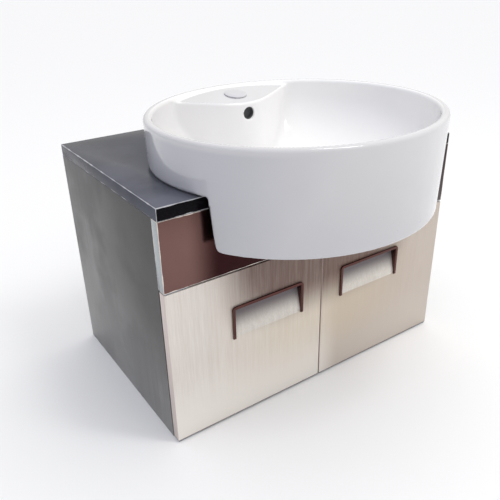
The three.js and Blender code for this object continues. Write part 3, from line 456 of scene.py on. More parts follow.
@dataclass(frozen=True)
class BrushedSheet(Finish):
    """Brushed metal sheet with its own tone, tints and bright edges."""

    shadow: Colour = (0.2, 0.2, 0.2, 1.0)
    tint: Colour = (0.5, 0.5, 0.5, 1.0)
    tint_share: float = 0.3
    edge: Colour = (0.7, 0.7, 0.7, 1.0)
    low: Point = (-9.0, -9.0, -9.0)
    high: Point = (9.0, 9.0, 9.0)
    wear_width: float = 0.0009
    pitch: Point = (900.0, 900.0, 14.0)
    depth: float = 0.00002
    # Painted shade: the darker colour towards the top, and how much and how high it reaches.
    top_shade: Colour = (0.3, 0.3, 0.3, 1.0)
    dim_share: float = 0.0
    dim_top: float = 0.4

    def dress(self, graph: Graph, shader: bpy.types.Node) -> None:
        """Adds the grain, the slow tints, painted shade that darkens upwards, the bright edges and the brushed
        relief.
        """
        grain = graph.group(drawn_grain(), pitch=self.pitch)
        base = graph.mix(grain.outputs["Tone"], self.shadow, self.colour)
        cloud = graph.group(cloudiness(), scale=4.5).outputs["Tone"]
        tinted = graph.mix(graph.calc("MULTIPLY", cloud, self.tint_share), base, self.tint)
        _, _, z = graph.parts(graph.place())
        # Painted shade: the sheet drawn darker towards the top.
        upward = graph.remap(z, 0.0, self.dim_top, 0.0, self.dim_share)
        top_shaded = graph.mix(upward, tinted, self.top_shade)
        edges = graph.group(arris_wear(), low_corner=self.low, high_corner=self.high, width=self.wear_width)
        graph.feed(shader.inputs["Base Color"], graph.mix(edges.outputs["Wear"], top_shaded, self.edge))
        wiped = graph.group(cloudiness(), scale=9.0).outputs["Tone"]
        smooth = graph.remap(wiped, 0.0, 1.0, self.roughness * 0.85, self.roughness * 1.15)
        graph.feed(shader.inputs["Roughness"], graph.calc("MULTIPLY_ADD", grain.outputs["Tone"], 0.06, smooth))
        self.bump(graph, shader, grain.outputs["Height"], self.depth)


@dataclass(frozen=True)
class Plating(Finish):
    """Plated or polished metal with light handling marks."""

    dull: Colour = (0.4, 0.4, 0.4, 1.0)
    marks: float = 0.15

    def dress(self, graph: Graph, shader: bpy.types.Node) -> None:
        """Adds dull patches and fine marks."""
        cloud = graph.group(cloudiness(), scale=30.0).outputs["Tone"]
        marks = graph.group(fine_marks(), scale=700.0)
        patch = graph.calc("MULTIPLY", cloud, 0.5)
        graph.feed(shader.inputs["Base Color"], graph.mix(patch, self.colour, self.dull))
        polish = graph.remap(cloud, 0.0, 1.0, self.roughness, self.roughness * 1.6)
        graph.feed(
            shader.inputs["Roughness"], graph.calc("MULTIPLY_ADD", marks.outputs["Specks"], self.marks, polish)
        )
        self.bump(graph, shader, marks.outputs["Height"], 0.000004)


@dataclass(frozen=True)
class Moulding(Finish):
    """Moulded plastic or rubber with a fine surface."""

    pale: Colour = (0.9, 0.9, 0.9, 1.0)
    texture: float = 600.0
    depth: float = 0.00002

    def dress(self, graph: Graph, shader: bpy.types.Node) -> None:
        """Adds a slow change of tone and the mould's fine texture."""
        cloud = graph.group(cloudiness(), scale=22.0).outputs["Tone"]
        graph.feed(shader.inputs["Base Color"], graph.mix(graph.calc("MULTIPLY", cloud, 0.6), self.colour, self.pale))
        marks = graph.group(fine_marks(), scale=self.texture)
        graph.feed(shader.inputs["Roughness"], graph.remap(cloud, 0.0, 1.0, self.roughness, self.roughness * 1.25))
        self.bump(graph, shader, marks.outputs["Height"], self.depth)


@dataclass(frozen=True)
class FasciaSheet(BrushedSheet):
    """Mirror sheet with painted shade towards the basin, with plain steel on its cut ends."""

    # Painted shade: the dark maroon drawn towards the basin.
    basin_side_shade: Colour = (0.05, 0.02, 0.02, 1.0)
    cut_end: Colour = (0.4, 0.42, 0.42, 1.0)

    def dress(self, graph: Graph, shader: bpy.types.Node) -> None:
        """Adds the tints, the painted shade towards the basin and the steel ends."""
        cloud = graph.group(cloudiness(), scale=5.0).outputs["Tone"]
        tinted = graph.mix(graph.calc("MULTIPLY", cloud, self.tint_share), self.colour, self.tint)
        x, _, _ = graph.parts(graph.place())
        # Painted shade: dark maroon from just left of the basin rightwards.
        near = graph.remap(x, -0.262, -0.205)
        dark = graph.mix(near, tinted, self.basin_side_shade)
        ends = graph.mix(facing(graph, 0, 0.5, 0.9), dark, self.cut_end)
        edges = graph.group(arris_wear(), low_corner=self.low, high_corner=self.high, width=self.wear_width)
        graph.feed(shader.inputs["Base Color"], graph.mix(edges.outputs["Wear"], ends, self.edge))
        graph.feed(shader.inputs["Roughness"], graph.remap(cloud, 0.0, 1.0, self.roughness, self.roughness * 1.3))
        self.bump(graph, shader, graph.noise(graph.place(), 60.0, 2.0), self.depth)


@dataclass(frozen=True)
class DoorSheet(BrushedSheet):
    """Pale brushed sheet, with painted brown shade under the basin and a painted glow round it, painted shade on the
    right-hand door and the side faces, painted light towards its foot, and a dark line along its foot.
    """

    # Painted shadow under the basin and painted glow round it.
    basin_shadow: Colour = (0.2, 0.1, 0.08, 1.0)
    glow: Colour = (0.7, 0.6, 0.4, 1.0)
    foot_line: Colour = (0.1, 0.07, 0.06, 1.0)
    # Painted shade on the side faces and the right-hand door, and painted light towards the foot.
    side_face_shade: Colour = (0.5, 0.4, 0.38, 1.0)
    right_door_shade: Colour = (0.5, 0.42, 0.36, 1.0)
    foot_light: Colour = (0.9, 0.87, 0.83, 1.0)
    foot: float = 0.0

    def dress(self, graph: Graph, shader: bpy.types.Node) -> None:
        """Adds the grain, the painted light towards the foot, the painted shade on the right-hand door, under the
        basin and on the side faces, the painted glow round the basin's shade and the foot's line.
        """
        grain = graph.group(drawn_grain(), pitch=self.pitch)
        base = graph.mix(grain.outputs["Tone"], self.shadow, self.colour)
        cloud = graph.group(cloudiness(), scale=4.5).outputs["Tone"]
        tinted = graph.mix(graph.calc("MULTIPLY", cloud, self.tint_share), base, self.tint)
        x, _, z = graph.parts(graph.place())
        # Painted light: the sheet drawn paler towards its foot.
        foot_lit = graph.mix(graph.remap(z, 0.15, 0.02), tinted, self.foot_light)
        # Painted shade: the right-hand door drawn darker and browner.
        right_shaded = graph.mix(graph.remap(x, -0.01, 0.05, 0.0, 0.55), foot_lit, self.right_door_shade)
        shade_of = graph.group(basin_shade())
        streaks = graph.remap(grain.outputs["Tone"], 0.0, 1.0, 0.88, 0.78)
        # Painted glow: warm light drawn just beyond the basin's shade.
        glow = graph.calc("MULTIPLY", shade_of.outputs["Glow"], graph.calc("MULTIPLY", streaks, 0.5))
        glowing = graph.mix(glow, right_shaded, self.glow)
        # Painted shadow: brown shade under the basin.
        shaded = graph.mix(graph.calc("MULTIPLY", shade_of.outputs["Shade"], streaks), glowing, self.basin_shadow)
        # Painted shade: the side faces drawn pinker and darker than the front.
        sides = graph.mix(facing(graph, 0, 0.5, 0.9), shaded, self.side_face_shade)
        line = graph.remap(z, self.foot + 0.0017, self.foot + 0.0009)
        graph.feed(shader.inputs["Base Color"], graph.mix(line, sides, self.foot_line))
        wiped = graph.group(cloudiness(), scale=9.0).outputs["Tone"]
        smooth = graph.remap(wiped, 0.0, 1.0, self.roughness * 0.9, self.roughness * 1.1)
        graph.feed(shader.inputs["Roughness"], smooth)
        self.bump(graph, shader, grain.outputs["Height"], self.depth)


@dataclass(frozen=True)
class ScoopSheet(BrushedSheet):
    """The door's sheet where it is pressed in behind the pull, with painted shade that darkens it the deeper it goes.
    """

    # Painted shade: the colour at the bottom of the recess.
    deep: Colour = (0.3, 0.28, 0.3, 1.0)
    mouth: float = 0.0
    depth_of_scoop: float = 0.0095

    def dress(self, graph: Graph, shader: bpy.types.Node) -> None:
        """Adds the grain and the painted shade that darkens with depth."""
        grain = graph.group(drawn_grain(), pitch=self.pitch)
        base = graph.mix(grain.outputs["Tone"], self.shadow, self.colour)
        _, y, _ = graph.parts(graph.place())
        # Painted shade: the recess drawn darker the deeper it goes.
        inward = graph.remap(y, self.mouth + 0.001, self.mouth + self.depth_of_scoop)
        graph.feed(shader.inputs["Base Color"], graph.mix(inward, base, self.deep))
        graph.feed(shader.inputs["Roughness"], graph.remap(inward, 0.0, 1.0, self.roughness, self.roughness * 1.2))
        self.bump(graph, shader, grain.outputs["Height"], self.depth)


def corners(node: str) -> tuple[Point, Point]:
    """A CAD node's lowest and highest corners as plain numbers."""
    low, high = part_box(node)
    return tuple(low), tuple(high)


COUNTER_LOW, COUNTER_HIGH = corners("counter_top")
FASCIA_LOW, FASCIA_HIGH = corners("fascia_panel")
PANEL_PITCH = (520.0, 520.0, 9.0)
DOOR_PITCH = (1300.0, 1300.0, 26.0)

# The whiter bowl colour is painted light and the cooler apron colour is painted shade.
GLAZE = Glaze(
    "White glaze", "glazed_ceramic", shade(210, 209, 211), 0.08, coat=0.5, coat_roughness=0.03,
    warm=shade(204, 203, 204), bowl=shade(246, 245, 244), apron=shade(178, 179, 186),
)
# Painted shadow: the dark colour of the cup put inside the overflow duct, whose own glaze is white.
DUCT_SHADOW = Moulding("Overflow painted shadow", "glazed_ceramic", shade(78, 78, 80), 0.5, pale=shade(92, 92, 95))
TAP_CAP = Moulding("Tap-hole cap", "white_cap", shade(204, 204, 207), 0.12, pale=shade(200, 200, 203), depth=0.000006)
# The pale haze colour on the slab is partly dusty and partly painted sheen.
SLAB = PolishedSlab(
    "Black slab", "black_stone", shade(10, 8, 11), 0.16, specular=0.05, dust_and_sheen_colour=shade(108, 110, 121),
    low=COUNTER_LOW, high=COUNTER_HIGH, speck=shade(84, 84, 92), worn=shade(190, 190, 194), wear_width=0.0012,
)
# The dark maroon towards the basin is painted shade.
BRONZE_MIRROR = FasciaSheet(
    "Bronze mirror sheet", "mirror_bronze", shade(119, 90, 85), 0.2, 0.97,
    tint=shade(106, 78, 73), tint_share=0.5, edge=shade(228, 218, 210), basin_side_shade=shade(48, 24, 25),
    cut_end=shade(164, 170, 172), low=FASCIA_LOW, high=FASCIA_HIGH, wear_width=0.0011, depth=0.00001,
)
# The darker colour towards the top of the panels is painted shade.
SATIN_STEEL = BrushedSheet(
    "Satin steel sheet", "satin_steel", shade(158, 157, 156), 0.36, 1.0,
    shadow=shade(138, 137, 137), tint=shade(140, 138, 137), tint_share=0.3, edge=shade(205, 205, 205),
    pitch=PANEL_PITCH, depth=0.00001, top_shade=shade(84, 83, 83), dim_share=0.9, dim_top=0.26,
)
ZINC = Plating("Zinc plate", "zinc_steel", shade(178, 182, 188), 0.32, 1.0, dull=shade(140, 146, 156))
CHROME = Plating(
    "Bright plate", "bright_chrome", shade(225, 226, 229), 0.06, 1.0, dull=shade(200, 202, 206), marks=0.04
)
BRONZE_TRIM = Plating(
    "Dark bronze trim", "dark_bronze", shade(92, 62, 58), 0.16, 1.0, dull=shade(74, 48, 46), marks=0.08
)
# Painted highlight: a lighter copy of the bronze for the pull frames' rounded arrises.
HIGHLIGHT_TRIM = Plating(
    "Bronze arris painted highlight", "dark_bronze", shade(190, 156, 146), 0.2, 0.4, dull=shade(160, 126, 118), marks=0.06
)
NYLON = Moulding("Natural nylon", "white_nylon", shade(226, 224, 216), 0.45, pale=shade(236, 234, 228))
MAGNET = Moulding("Catch case", "grey_magnet", shade(74, 75, 80), 0.5, pale=shade(92, 93, 98))
RUBBER = Moulding("Black rubber", "black_rubber", shade(30, 30, 32), 0.75, pale=shade(42, 42, 44))
SILICONE = Moulding(
    "Clear sealant", "clear_silicone", shade(70, 71, 75), 0.3, pale=shade(84, 85, 90), texture=90.0
)
WHITE_PIPE = Moulding("White pipe plastic", "white_plastic", shade(232, 232, 228), 0.35, pale=shade(222, 222, 218))
CORE = Moulding("Board core", "honeycomb", shade(180, 184, 190), 0.7, pale=shade(150, 154, 160), texture=160.0)


DOOR_LOW, DOOR_HIGH = corners("left_door_skin")
# The brown under the basin is painted shadow and the warm band round it a painted glow; the darker right-hand door
# and side faces are painted shade, the paler foot painted light.
CHAMPAGNE = DoorSheet(
    "Champagne sheet", "champagne_steel", shade(226, 220, 213), 0.42, 0.25,
    shadow=shade(214, 205, 196), tint=shade(222, 208, 200), tint_share=0.3, pitch=DOOR_PITCH, depth=0.00001,
    basin_shadow=shade(84, 46, 40), glow=shade(222, 206, 176), foot_line=shade(84, 66, 62),
    side_face_shade=shade(214, 200, 192), right_door_shade=shade(170, 152, 136), foot_light=shade(238, 232, 224),
    foot=DOOR_LOW[2],
)
# The darker colour deep in the pressed recess is painted shade.
CHAMPAGNE_SCOOP = ScoopSheet(
    "Pressed champagne sheet", "champagne_steel", shade(224, 219, 210), 0.42, 0.25,
    shadow=shade(210, 203, 194), pitch=DOOR_PITCH, depth=0.00001, deep=shade(104, 96, 99), mouth=DOOR_LOW[1],
)


# ---------------------------------------------------------------- meshes


def add_piece(
    name: str,
    mesh: bpy.types.Mesh,
    finish: Finish,
    body: str,
    stands_for: Sequence[str] = (),
    edge_finish: Finish | None = None,
) -> bpy.types.Object:
    """Puts a mesh into the scene as a piece of the vanity.

    Args:
        name: the piece's name.
        mesh: its mesh, in the row frame.
        finish: its finish.
        body: the body that it moves with.
        stands_for: the CAD nodes that it is shown in place of.
        edge_finish: the finish of its rounded arrises, where they differ.

    Returns:
        The piece.
    """
    piece = bpy.data.objects.new(name, mesh)
    bpy.context.scene.collection.objects.link(piece)
    mesh.materials.clear()
    mesh.materials.append(finish.material())
    mesh.materials.append((edge_finish or finish).material())
    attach(piece, body)
    if stands_for:
        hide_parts(*stands_for)
    log.info("%s: %d faces on %s", name, len(mesh.polygons), body)
    return piece


def mesh_of(shape: bmesh.types.BMesh, name: str, smooth_under: float = 35.0) -> bpy.types.Mesh:
    """Turns an edit mesh into a mesh, smooth except at its sharp edges.

    Args:
        shape: the edit mesh, which is freed.
        name: the new mesh's name.
        smooth_under: the angle in degrees under which an edge is smooth.

    Returns:
        The mesh.
    """
    bmesh.ops.recalc_face_normals(shape, faces=shape.faces)
    limit = math.radians(smooth_under)
    for face in shape.faces:
        face.smooth = True
    for edge in shape.edges:
        edge.smooth = len(edge.link_faces) == 2 and edge.calc_face_angle(0.0) < limit
    mesh = bpy.data.meshes.new(name)
    shape.to_mesh(mesh)
    shape.free()
    return mesh


def softened(node: str, width: float, segments: int = 2) -> bpy.types.Mesh:
    """A CAD node's shape with rounded arrises.

    Args:
        node: the CAD node.
        width: how wide the rounding is.
        segments: how many facets the rounding has.

    Returns:
        The new mesh.
    """
    shape = bmesh.new()
    shape.from_mesh(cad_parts[node].data)
    bmesh.ops.remove_doubles(shape, verts=shape.verts, dist=1e-6)
    flat = math.radians(0.6)
    bmesh.ops.dissolve_limit(shape, angle_limit=flat, verts=shape.verts, edges=shape.edges)
    sharp = [e for e in shape.edges if len(e.link_faces) == 2 and e.calc_face_angle(0.0) > math.radians(30)]
    bmesh.ops.bevel(
        shape, geom=sharp, offset=width, segments=segments, profile=0.5, affect="EDGES", clamp_overlap=True,
        material=1,
    )
    return mesh_of(shape, f"{node}_soft", 40.0)


def rounded(profile: Profile, radius: float, closed: bool) -> Profile:
    """Cuts each corner of a profile with a small arc.

    Args:
        profile: the corners.
        radius: how far from the corner the arc starts, at most.
        closed: True where the last point leads back to the first.

    Returns:
        The profile with arcs.
    """
    arc_points = 4
    made: Profile = []
    count = len(profile)
    for i, here in enumerate(profile):
        if not closed and i in (0, count - 1):
            made.append(here)
            continue
        before, after = profile[i - 1], profile[(i + 1) % count]
        reach_in = min(radius, math.dist(here, before) * 0.45)
        reach_out = min(radius, math.dist(here, after) * 0.45)
        start = Vector(here).lerp(Vector(before), reach_in / math.dist(here, before))
        end = Vector(here).lerp(Vector(after), reach_out / math.dist(here, after))
        for step in range(arc_points):
            t = step / (arc_points - 1)
            point = start.lerp(Vector(here), t).lerp(Vector(here).lerp(end, t), t)
            made.append((point.x, point.y))
    return made


@dataclass(frozen=True)
class Turning:
    """A piece turned about an axis: points of radius and height, the first at the start of the outline."""

    profile: Profile
    centre: Point
    axis: Point = (0.0, 0.0, 1.0)
    corner: float = 0.0006
    sides: int = 72

    def mesh(self, name: str) -> bpy.types.Mesh:
        """Turns the profile.

        Args:
            name: the mesh's name.

        Returns:
            A closed mesh, in the row frame.
        """
        on_axis = self.profile[0][0] == 0.0
        outline = rounded(self.profile, self.corner, not on_axis)
        shape = bmesh.new()
        rings = [self._ring(shape, radius, height) for radius, height in outline]
        pairs = list(zip(rings, rings[1:])) + ([] if on_axis else [(rings[-1], rings[0])])
        for first, second in pairs:
            self._join(shape, first, second)
        turn = Vector((0.0, 0.0, 1.0)).rotation_difference(Vector(self.axis)).to_matrix().to_4x4()
        bmesh.ops.transform(shape, matrix=Matrix.Translation(self.centre) @ turn, verts=shape.verts)
        return mesh_of(shape, name)

    def _ring(self, shape: bmesh.types.BMesh, radius: float, height: float) -> list[bmesh.types.BMVert]:
        """One ring of points, or one point where the profile meets the axis."""
        if radius == 0.0:
            return [shape.verts.new((0.0, 0.0, height))]
        made = []
        for i in range(self.sides):
            angle = 2 * math.pi * i / self.sides
            made.append(shape.verts.new((radius * math.cos(angle), radius * math.sin(angle), height)))
        return made

    def _join(
        self, shape: bmesh.types.BMesh, first: list[bmesh.types.BMVert], second: list[bmesh.types.BMVert]
    ) -> None:
        """Faces between two rings."""
        for i in range(self.sides):
            j = (i + 1) % self.sides
            if len(first) == 1:
                shape.faces.new((first[0], second[j], second[i]))
            elif len(second) == 1:
                shape.faces.new((first[i], first[j], second[0]))
            else:
                shape.faces.new((first[i], first[j], second[j], second[i]))


def dress_node(node: str, finish: Finish) -> None:
    """Gives a CAD node that stays in view its finish."""
    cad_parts[node].material_slots[0].material = finish.material()
    log.info("%s: dressed in %s", node, finish.name)


# ---------------------------------------------------------------- basin

Field = np.ndarray


def both(first: Field, second: Field, radius: float | Field) -> Field:
    """What is in both shapes, with the edge between them rounded. Inside is negative."""
    bent = np.hypot(np.maximum(first + radius, 0), np.maximum(second + radius, 0))
    return bent + np.minimum(-radius, np.maximum(first, second))


def either(first: Field, second: Field, radius: float | Field) -> Field:
    """What is in one shape or the other, with the corner between them filled by a fillet."""
    return -both(-first, -second, radius)


@dataclass
class Basin:
    """Slip-cast basin: a rounded rim, a tap deck, an oval bowl and an apron ahead of the counter."""

    half_width: float = 0.25
    half_depth: float = 0.23499
    taper: float = 0.004
    rise: float = 0.077
    apron_drop: float = 0.084
    rim_width: float = 0.014
    rim_outer_radius: float = 0.007
    rim_inner_radius: float = 0.006
    skirt_wall: float = 0.014
    bowl_wall: float = 0.012
    bowl_shoulder: float = 0.010
    bowl_depth: float = 0.131
    bowl_ahead: float = 0.004
    deck_depth: float = 0.086
    deck_below_rim: float = 0.017
    deck_fall: float = 0.15
    deck_lean: float = 0.35
    deck_blend: float = 0.008
    deck_edge_radius: float = 0.005
    bowl_roundness: float = 0.8
    bowl_steepness: float = 0.91
    apron_setback: float = 0.012
    apron_lean: float = 0.006
    apron_corner: float = 0.010
    lip_radius: float = 0.004
    tap_hole_radius: float = 0.0175
    overflow_radius: float = 0.011
    overflow_below_rim: float = 0.037
    duct_width: float = 0.028
    duct_depth: float = 0.010
    duct_wall: float = 0.008
    drain_radius: float = 0.023
    boss_radius: float = 0.036
    flange_radius: float = 0.0333
    flange_recess: float = 0.002
    cell: float = 0.0034
    low: Vector = field(default_factory=lambda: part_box("basin")[0])
    high: Vector = field(default_factory=lambda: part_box("basin")[1])
    counter_front: float = field(default_factory=lambda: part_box("counter_top")[0].y)

    def __post_init__(self) -> None:
        """Works out the levels and middles that follow from the sizes."""
        self.rim_top = self.high.z
        self.boss_foot = self.low.z
        self.middle = (self.low.y + self.high.y) / 2
        self.bowl_middle = self.middle - self.bowl_ahead
        self.seat = self.rim_top - self.rise
        self.apron_foot = self.seat - self.apron_drop
        self.bowl_top = self.rim_top - self.bowl_shoulder
        self.bowl_floor = self.bowl_top - self.bowl_depth
        self.deck_front = self.middle + self.half_depth - self.rim_width - self.deck_depth
        self.deck_level = self.rim_top - self.deck_below_rim
        self.tap_y = self.deck_front + self.deck_depth * 0.52
        self.tap_z = self.deck_level + self.deck_fall * (self.tap_y - self.deck_front)

    def _oval(self, x: Field, y: Field, half_x: Field | float, half_y: Field | float) -> Field:
        """Distance from an oval about the basin's middle."""
        dx, dy = x / half_x, (y - self.middle) / half_y
        share = np.hypot(dx, dy)
        steep = np.maximum(np.hypot(dx / half_x, dy / half_y), 1e-9)
        return share * (share - 1) / steep

    def _rim_reach(self, x: Field, y: Field) -> Field:
        """Distance from the bowl's middle to the inside of the rim, along a point's bearing."""
        half_x, half_y = self.half_width - self.rim_width, self.half_depth - self.rim_width
        bearing = np.arctan2(y - self.bowl_middle, x)
        dx, dy = np.cos(bearing) / half_x, np.sin(bearing) / half_y
        start = (self.bowl_middle - self.middle) / half_y
        a, b = dx * dx + dy * dy, dy * start
        return (-b + np.sqrt(b * b - a * (start * start - 1))) / a

    def _bowl_reach(self, rim: Field, turn: Field, x: Field, y: Field) -> Field:
        """Distance from the bowl's middle to its side, blended with the steep front of the deck."""
        share = np.maximum(np.cos(turn), 0) ** self.bowl_roundness
        from_back = np.abs(np.arctan2(x, y - self.bowl_middle))
        deck = (self.deck_front - self.bowl_middle) * (1 + 1.3 * from_back**2 + 2.4 * from_back**4)
        near = np.exp(-share * rim / self.deck_blend)
        far = np.exp(-deck * share**self.deck_lean / self.deck_blend)
        return -self.deck_blend * np.log(near + far)

    def _bowl(self, x: Field, y: Field, z: Field, rim: Field, wall: float) -> Field:
        """Distance from the bowl, thickened by a wall, with straight sides above its shoulder."""
        turns = np.linspace(0, np.pi / 2, 600)
        heights = self.bowl_top - self.bowl_depth * np.sin(turns) ** self.bowl_steepness - wall * np.sin(turns)

        def reach(level: Field) -> Field:
            """The bowl's reach at a level."""
            turn = np.interp(level, heights[::-1], turns[::-1])
            return self._bowl_reach(rim, turn, x, y) + wall * np.cos(turn)

        step = 0.0004
        slope = (reach(z + step) - reach(z - step)) / (2 * step)
        side = (np.hypot(x, y - self.bowl_middle) - reach(z)) / np.sqrt(1 + slope * slope)
        return np.maximum(side, heights[-1] - z)

    def _outside(self, x: Field, y: Field, z: Field, structure: Field) -> Field:
        """The outer form: wall, rim, seat on the counter and apron, hollow round what is underneath."""
        drawn_in = self.taper * (self.rim_top - z) / (self.rim_top - self.apron_foot)
        wall = self._oval(x, y, self.half_width - drawn_in, self.half_depth - drawn_in)
        form = both(wall, z - self.rim_top, self.rim_outer_radius)
        step = self.counter_front - self.apron_setback
        lean = self.apron_lean * (self.seat - z) / self.apron_drop
        kept = either(y - (step - lean), self.seat - z, self.lip_radius)
        kept = both(kept, self.apron_foot - z, self.apron_corner)
        form = both(form, kept, self.lip_radius)
        ceiling = z - (self.deck_level - self.bowl_wall)
        apron_back = step - self.apron_lean - self.skirt_wall
        open_below = np.minimum(y - apron_back, self.seat - z)
        hollow = both(both(wall + self.skirt_wall, ceiling, 0.006), open_below, 0.004)
        return both(form, -both(hollow, -structure, 0.004), 0.003)

    def _duct(self, x: Field, y: Field, z: Field, outer: Field, width: float) -> Field:
        """A band behind the bowl, from under the deck to the boss, out to a given wall."""
        head = self.bowl_top - 0.019
        across = np.maximum(np.abs(x) - width / 2, self.bowl_middle + self.drain_radius - y)
        return np.maximum(np.maximum(across, outer), z - head)

    def distance(self, x: Field, y: Field, z: Field) -> Field:
        """How far points are from the ceramic, negative inside it.

        Args:
            x, y, z: the points' places in the row frame.

        Returns:
            The distance, exact enough near the surface to round its edges.
        """
        rim = self._rim_reach(x, y)
        bowl = self._bowl(x, y, z, rim, 0.0)
        radius = np.hypot(x, y - self.bowl_middle)
        shell = np.maximum(self._bowl(x, y, z, rim, self.bowl_wall), z - self.bowl_top)
        passage_out = self.bowl_wall + self.duct_depth
        bulge_side = self._bowl(x, y, z, rim, passage_out + self.duct_wall)
        bulge = self._duct(x, y, z, bulge_side, self.duct_width + 2 * self.duct_wall)
        structure = either(shell, bulge, 0.004)
        boss = np.maximum(radius - self.boss_radius, np.maximum(self.boss_foot - z, z - self.bowl_floor))
        structure = either(structure, boss, 0.004)
        form = np.minimum(self._outside(x, y, z, structure), structure)

        inside_rim = self._oval(x, y, self.half_width - self.rim_width, self.half_depth - self.rim_width)
        near = self.deck_front - self.deck_blend
        deck = self.deck_level + self.deck_fall * (y - self.deck_front)
        near_level = self.deck_level - self.deck_fall * self.deck_blend
        ahead = np.minimum(self.bowl_top, near_level + self.deck_fall * (near - y))
        deck_floor = np.where(y > near, deck, ahead)
        recess = both(inside_rim, deck_floor - z, 0.007)
        shelf = rim - self._bowl_reach(rim, np.zeros_like(rim), x, y)
        cavity = either(bowl, recess, np.clip(shelf * 0.4, 1e-6, self.deck_edge_radius))
        form = both(form, -cavity, self.rim_inner_radius)

        passage = self._duct(x, y, z, self._bowl(x, y, z, rim, passage_out), self.duct_width)
        form = both(form, -np.maximum(passage, -shell), 0.001)
        drain = np.maximum(radius - self.drain_radius, z - self.bowl_floor)
        flange = np.maximum(radius - self.flange_radius, self.bowl_floor - self.flange_recess - z)
        flange = np.maximum(flange, z - self.bowl_floor - self.bowl_wall)
        form = both(form, -np.minimum(drain, flange), 0.0015)
        overflow_level = self.rim_top - self.overflow_below_rim
        hole = np.hypot(x, z - overflow_level) - self.overflow_radius
        hole_end = self.deck_front + self.bowl_wall + self.duct_depth / 2
        hole = np.maximum(hole, np.maximum(y - hole_end, self.bowl_middle - y))
        form = both(form, -hole, 0.0025)
        tilt = math.atan(self.deck_fall)
        across = (y - self.tap_y) * math.cos(tilt) + (z - self.tap_z) * math.sin(tilt)
        tap_hole = np.maximum(np.hypot(x, across) - self.tap_hole_radius, self.seat - z)
        return both(form, -tap_hole, 0.0015)

    def _slope(self, points: np.ndarray) -> np.ndarray:
        """How the distance changes at points, per axis."""
        step = 1e-5
        made = np.empty_like(points)
        for axis in range(3):
            shift = np.zeros(3)
            shift[axis] = step
            ahead = self.distance(*(points + shift).T)
            behind = self.distance(*(points - shift).T)
            made[:, axis] = (ahead - behind) / (2 * step)
        return made

    def mesh(self) -> bpy.types.Mesh:
        """Meshes the ceramic's surface, with every point drawn onto it and lit by its true slope."""
        margin = 2 * self.cell
        axes = [
            np.arange(self.low[i] - margin, self.high[i] + margin + self.cell, self.cell) for i in range(3)
        ]
        grid = np.meshgrid(*axes, indexing="ij")
        points, quads = surface_net(self.distance(*grid))
        points = np.array([axis[0] for axis in axes]) + points * self.cell
        for _ in range(5):
            slope = self._slope(points)
            size = np.maximum((slope**2).sum(1), 0.05)
            move = (self.distance(*points.T) / size)[:, None] * slope
            points = points - np.clip(move, -self.cell, self.cell)
        normals = self._slope(points)
        normals /= np.maximum(np.linalg.norm(normals, axis=1), 1e-9)[:, None]
        mesh = bpy.data.meshes.new("basin_ceramic")
        mesh.from_pydata(points.tolist(), [], quads.tolist())
        mesh.shade_smooth()
        mesh.normals_split_custom_set_from_vertices(normals.tolist())
        return mesh

    def build(self) -> None:
        """Adds the ceramic, its seal and the cap over its tap hole."""
        add_piece("basin_ceramic", self.mesh(), GLAZE, "cabinet", ["basin"])
        dress_node("basin_seal", SILICONE)
        self.add_overflow_shadow()
        fall = math.atan(self.deck_fall)
        axis = (0.0, -math.sin(fall), math.cos(fall))
        stem = self.tap_hole_radius - 0.001
        cap = [
            (0.0, -0.012), (stem, -0.012), (stem, 0.0003), (0.021, 0.0003), (0.021, 0.0018), (0.0198, 0.0026),
            (0.018, 0.003), (0.0165, 0.0031), (0.016, 0.0028), (0.0155, 0.0031), (0.0, 0.0033),
        ]
        centre = (0.0, self.tap_y, self.tap_z)
        add_piece(
            "tap_hole_cap", Turning(cap, centre, axis, 0.0004).mesh("tap_hole_cap"), TAP_CAP, "cabinet",
            ["tap_hole_cover"],
        )

    def add_overflow_shadow(self) -> None:
        """Adds a dark cup in the duct as painted shadow, seen through the overflow hole."""
        radius = self.overflow_radius - 0.0003
        deep, wall = 0.009, 0.0008
        cup = [
            (0.0, deep), (radius, deep), (radius, 0.0), (radius - wall, 0.0), (radius - wall, deep - wall),
            (0.0, deep - wall),
        ]
        level = self.rim_top - self.overflow_below_rim
        drop = (self.bowl_top - level) / self.bowl_depth
        turn = math.asin(drop ** (1 / self.bowl_steepness))
        mouth = self.deck_front - self.bowl_middle
        mouth = self.bowl_middle + mouth * math.cos(turn) ** (self.bowl_roundness * self.deck_lean)
        liner = Turning(cup, (0.0, mouth + 0.0035, level), (0.0, 1.0, 0.0), 0.0002).mesh("overflow_shadow_cup")
        # Painted shadow: a dark piece where the duct's white glaze lies in shade.
        add_piece("overflow_shadow_cup", liner, DUCT_SHADOW, "cabinet")


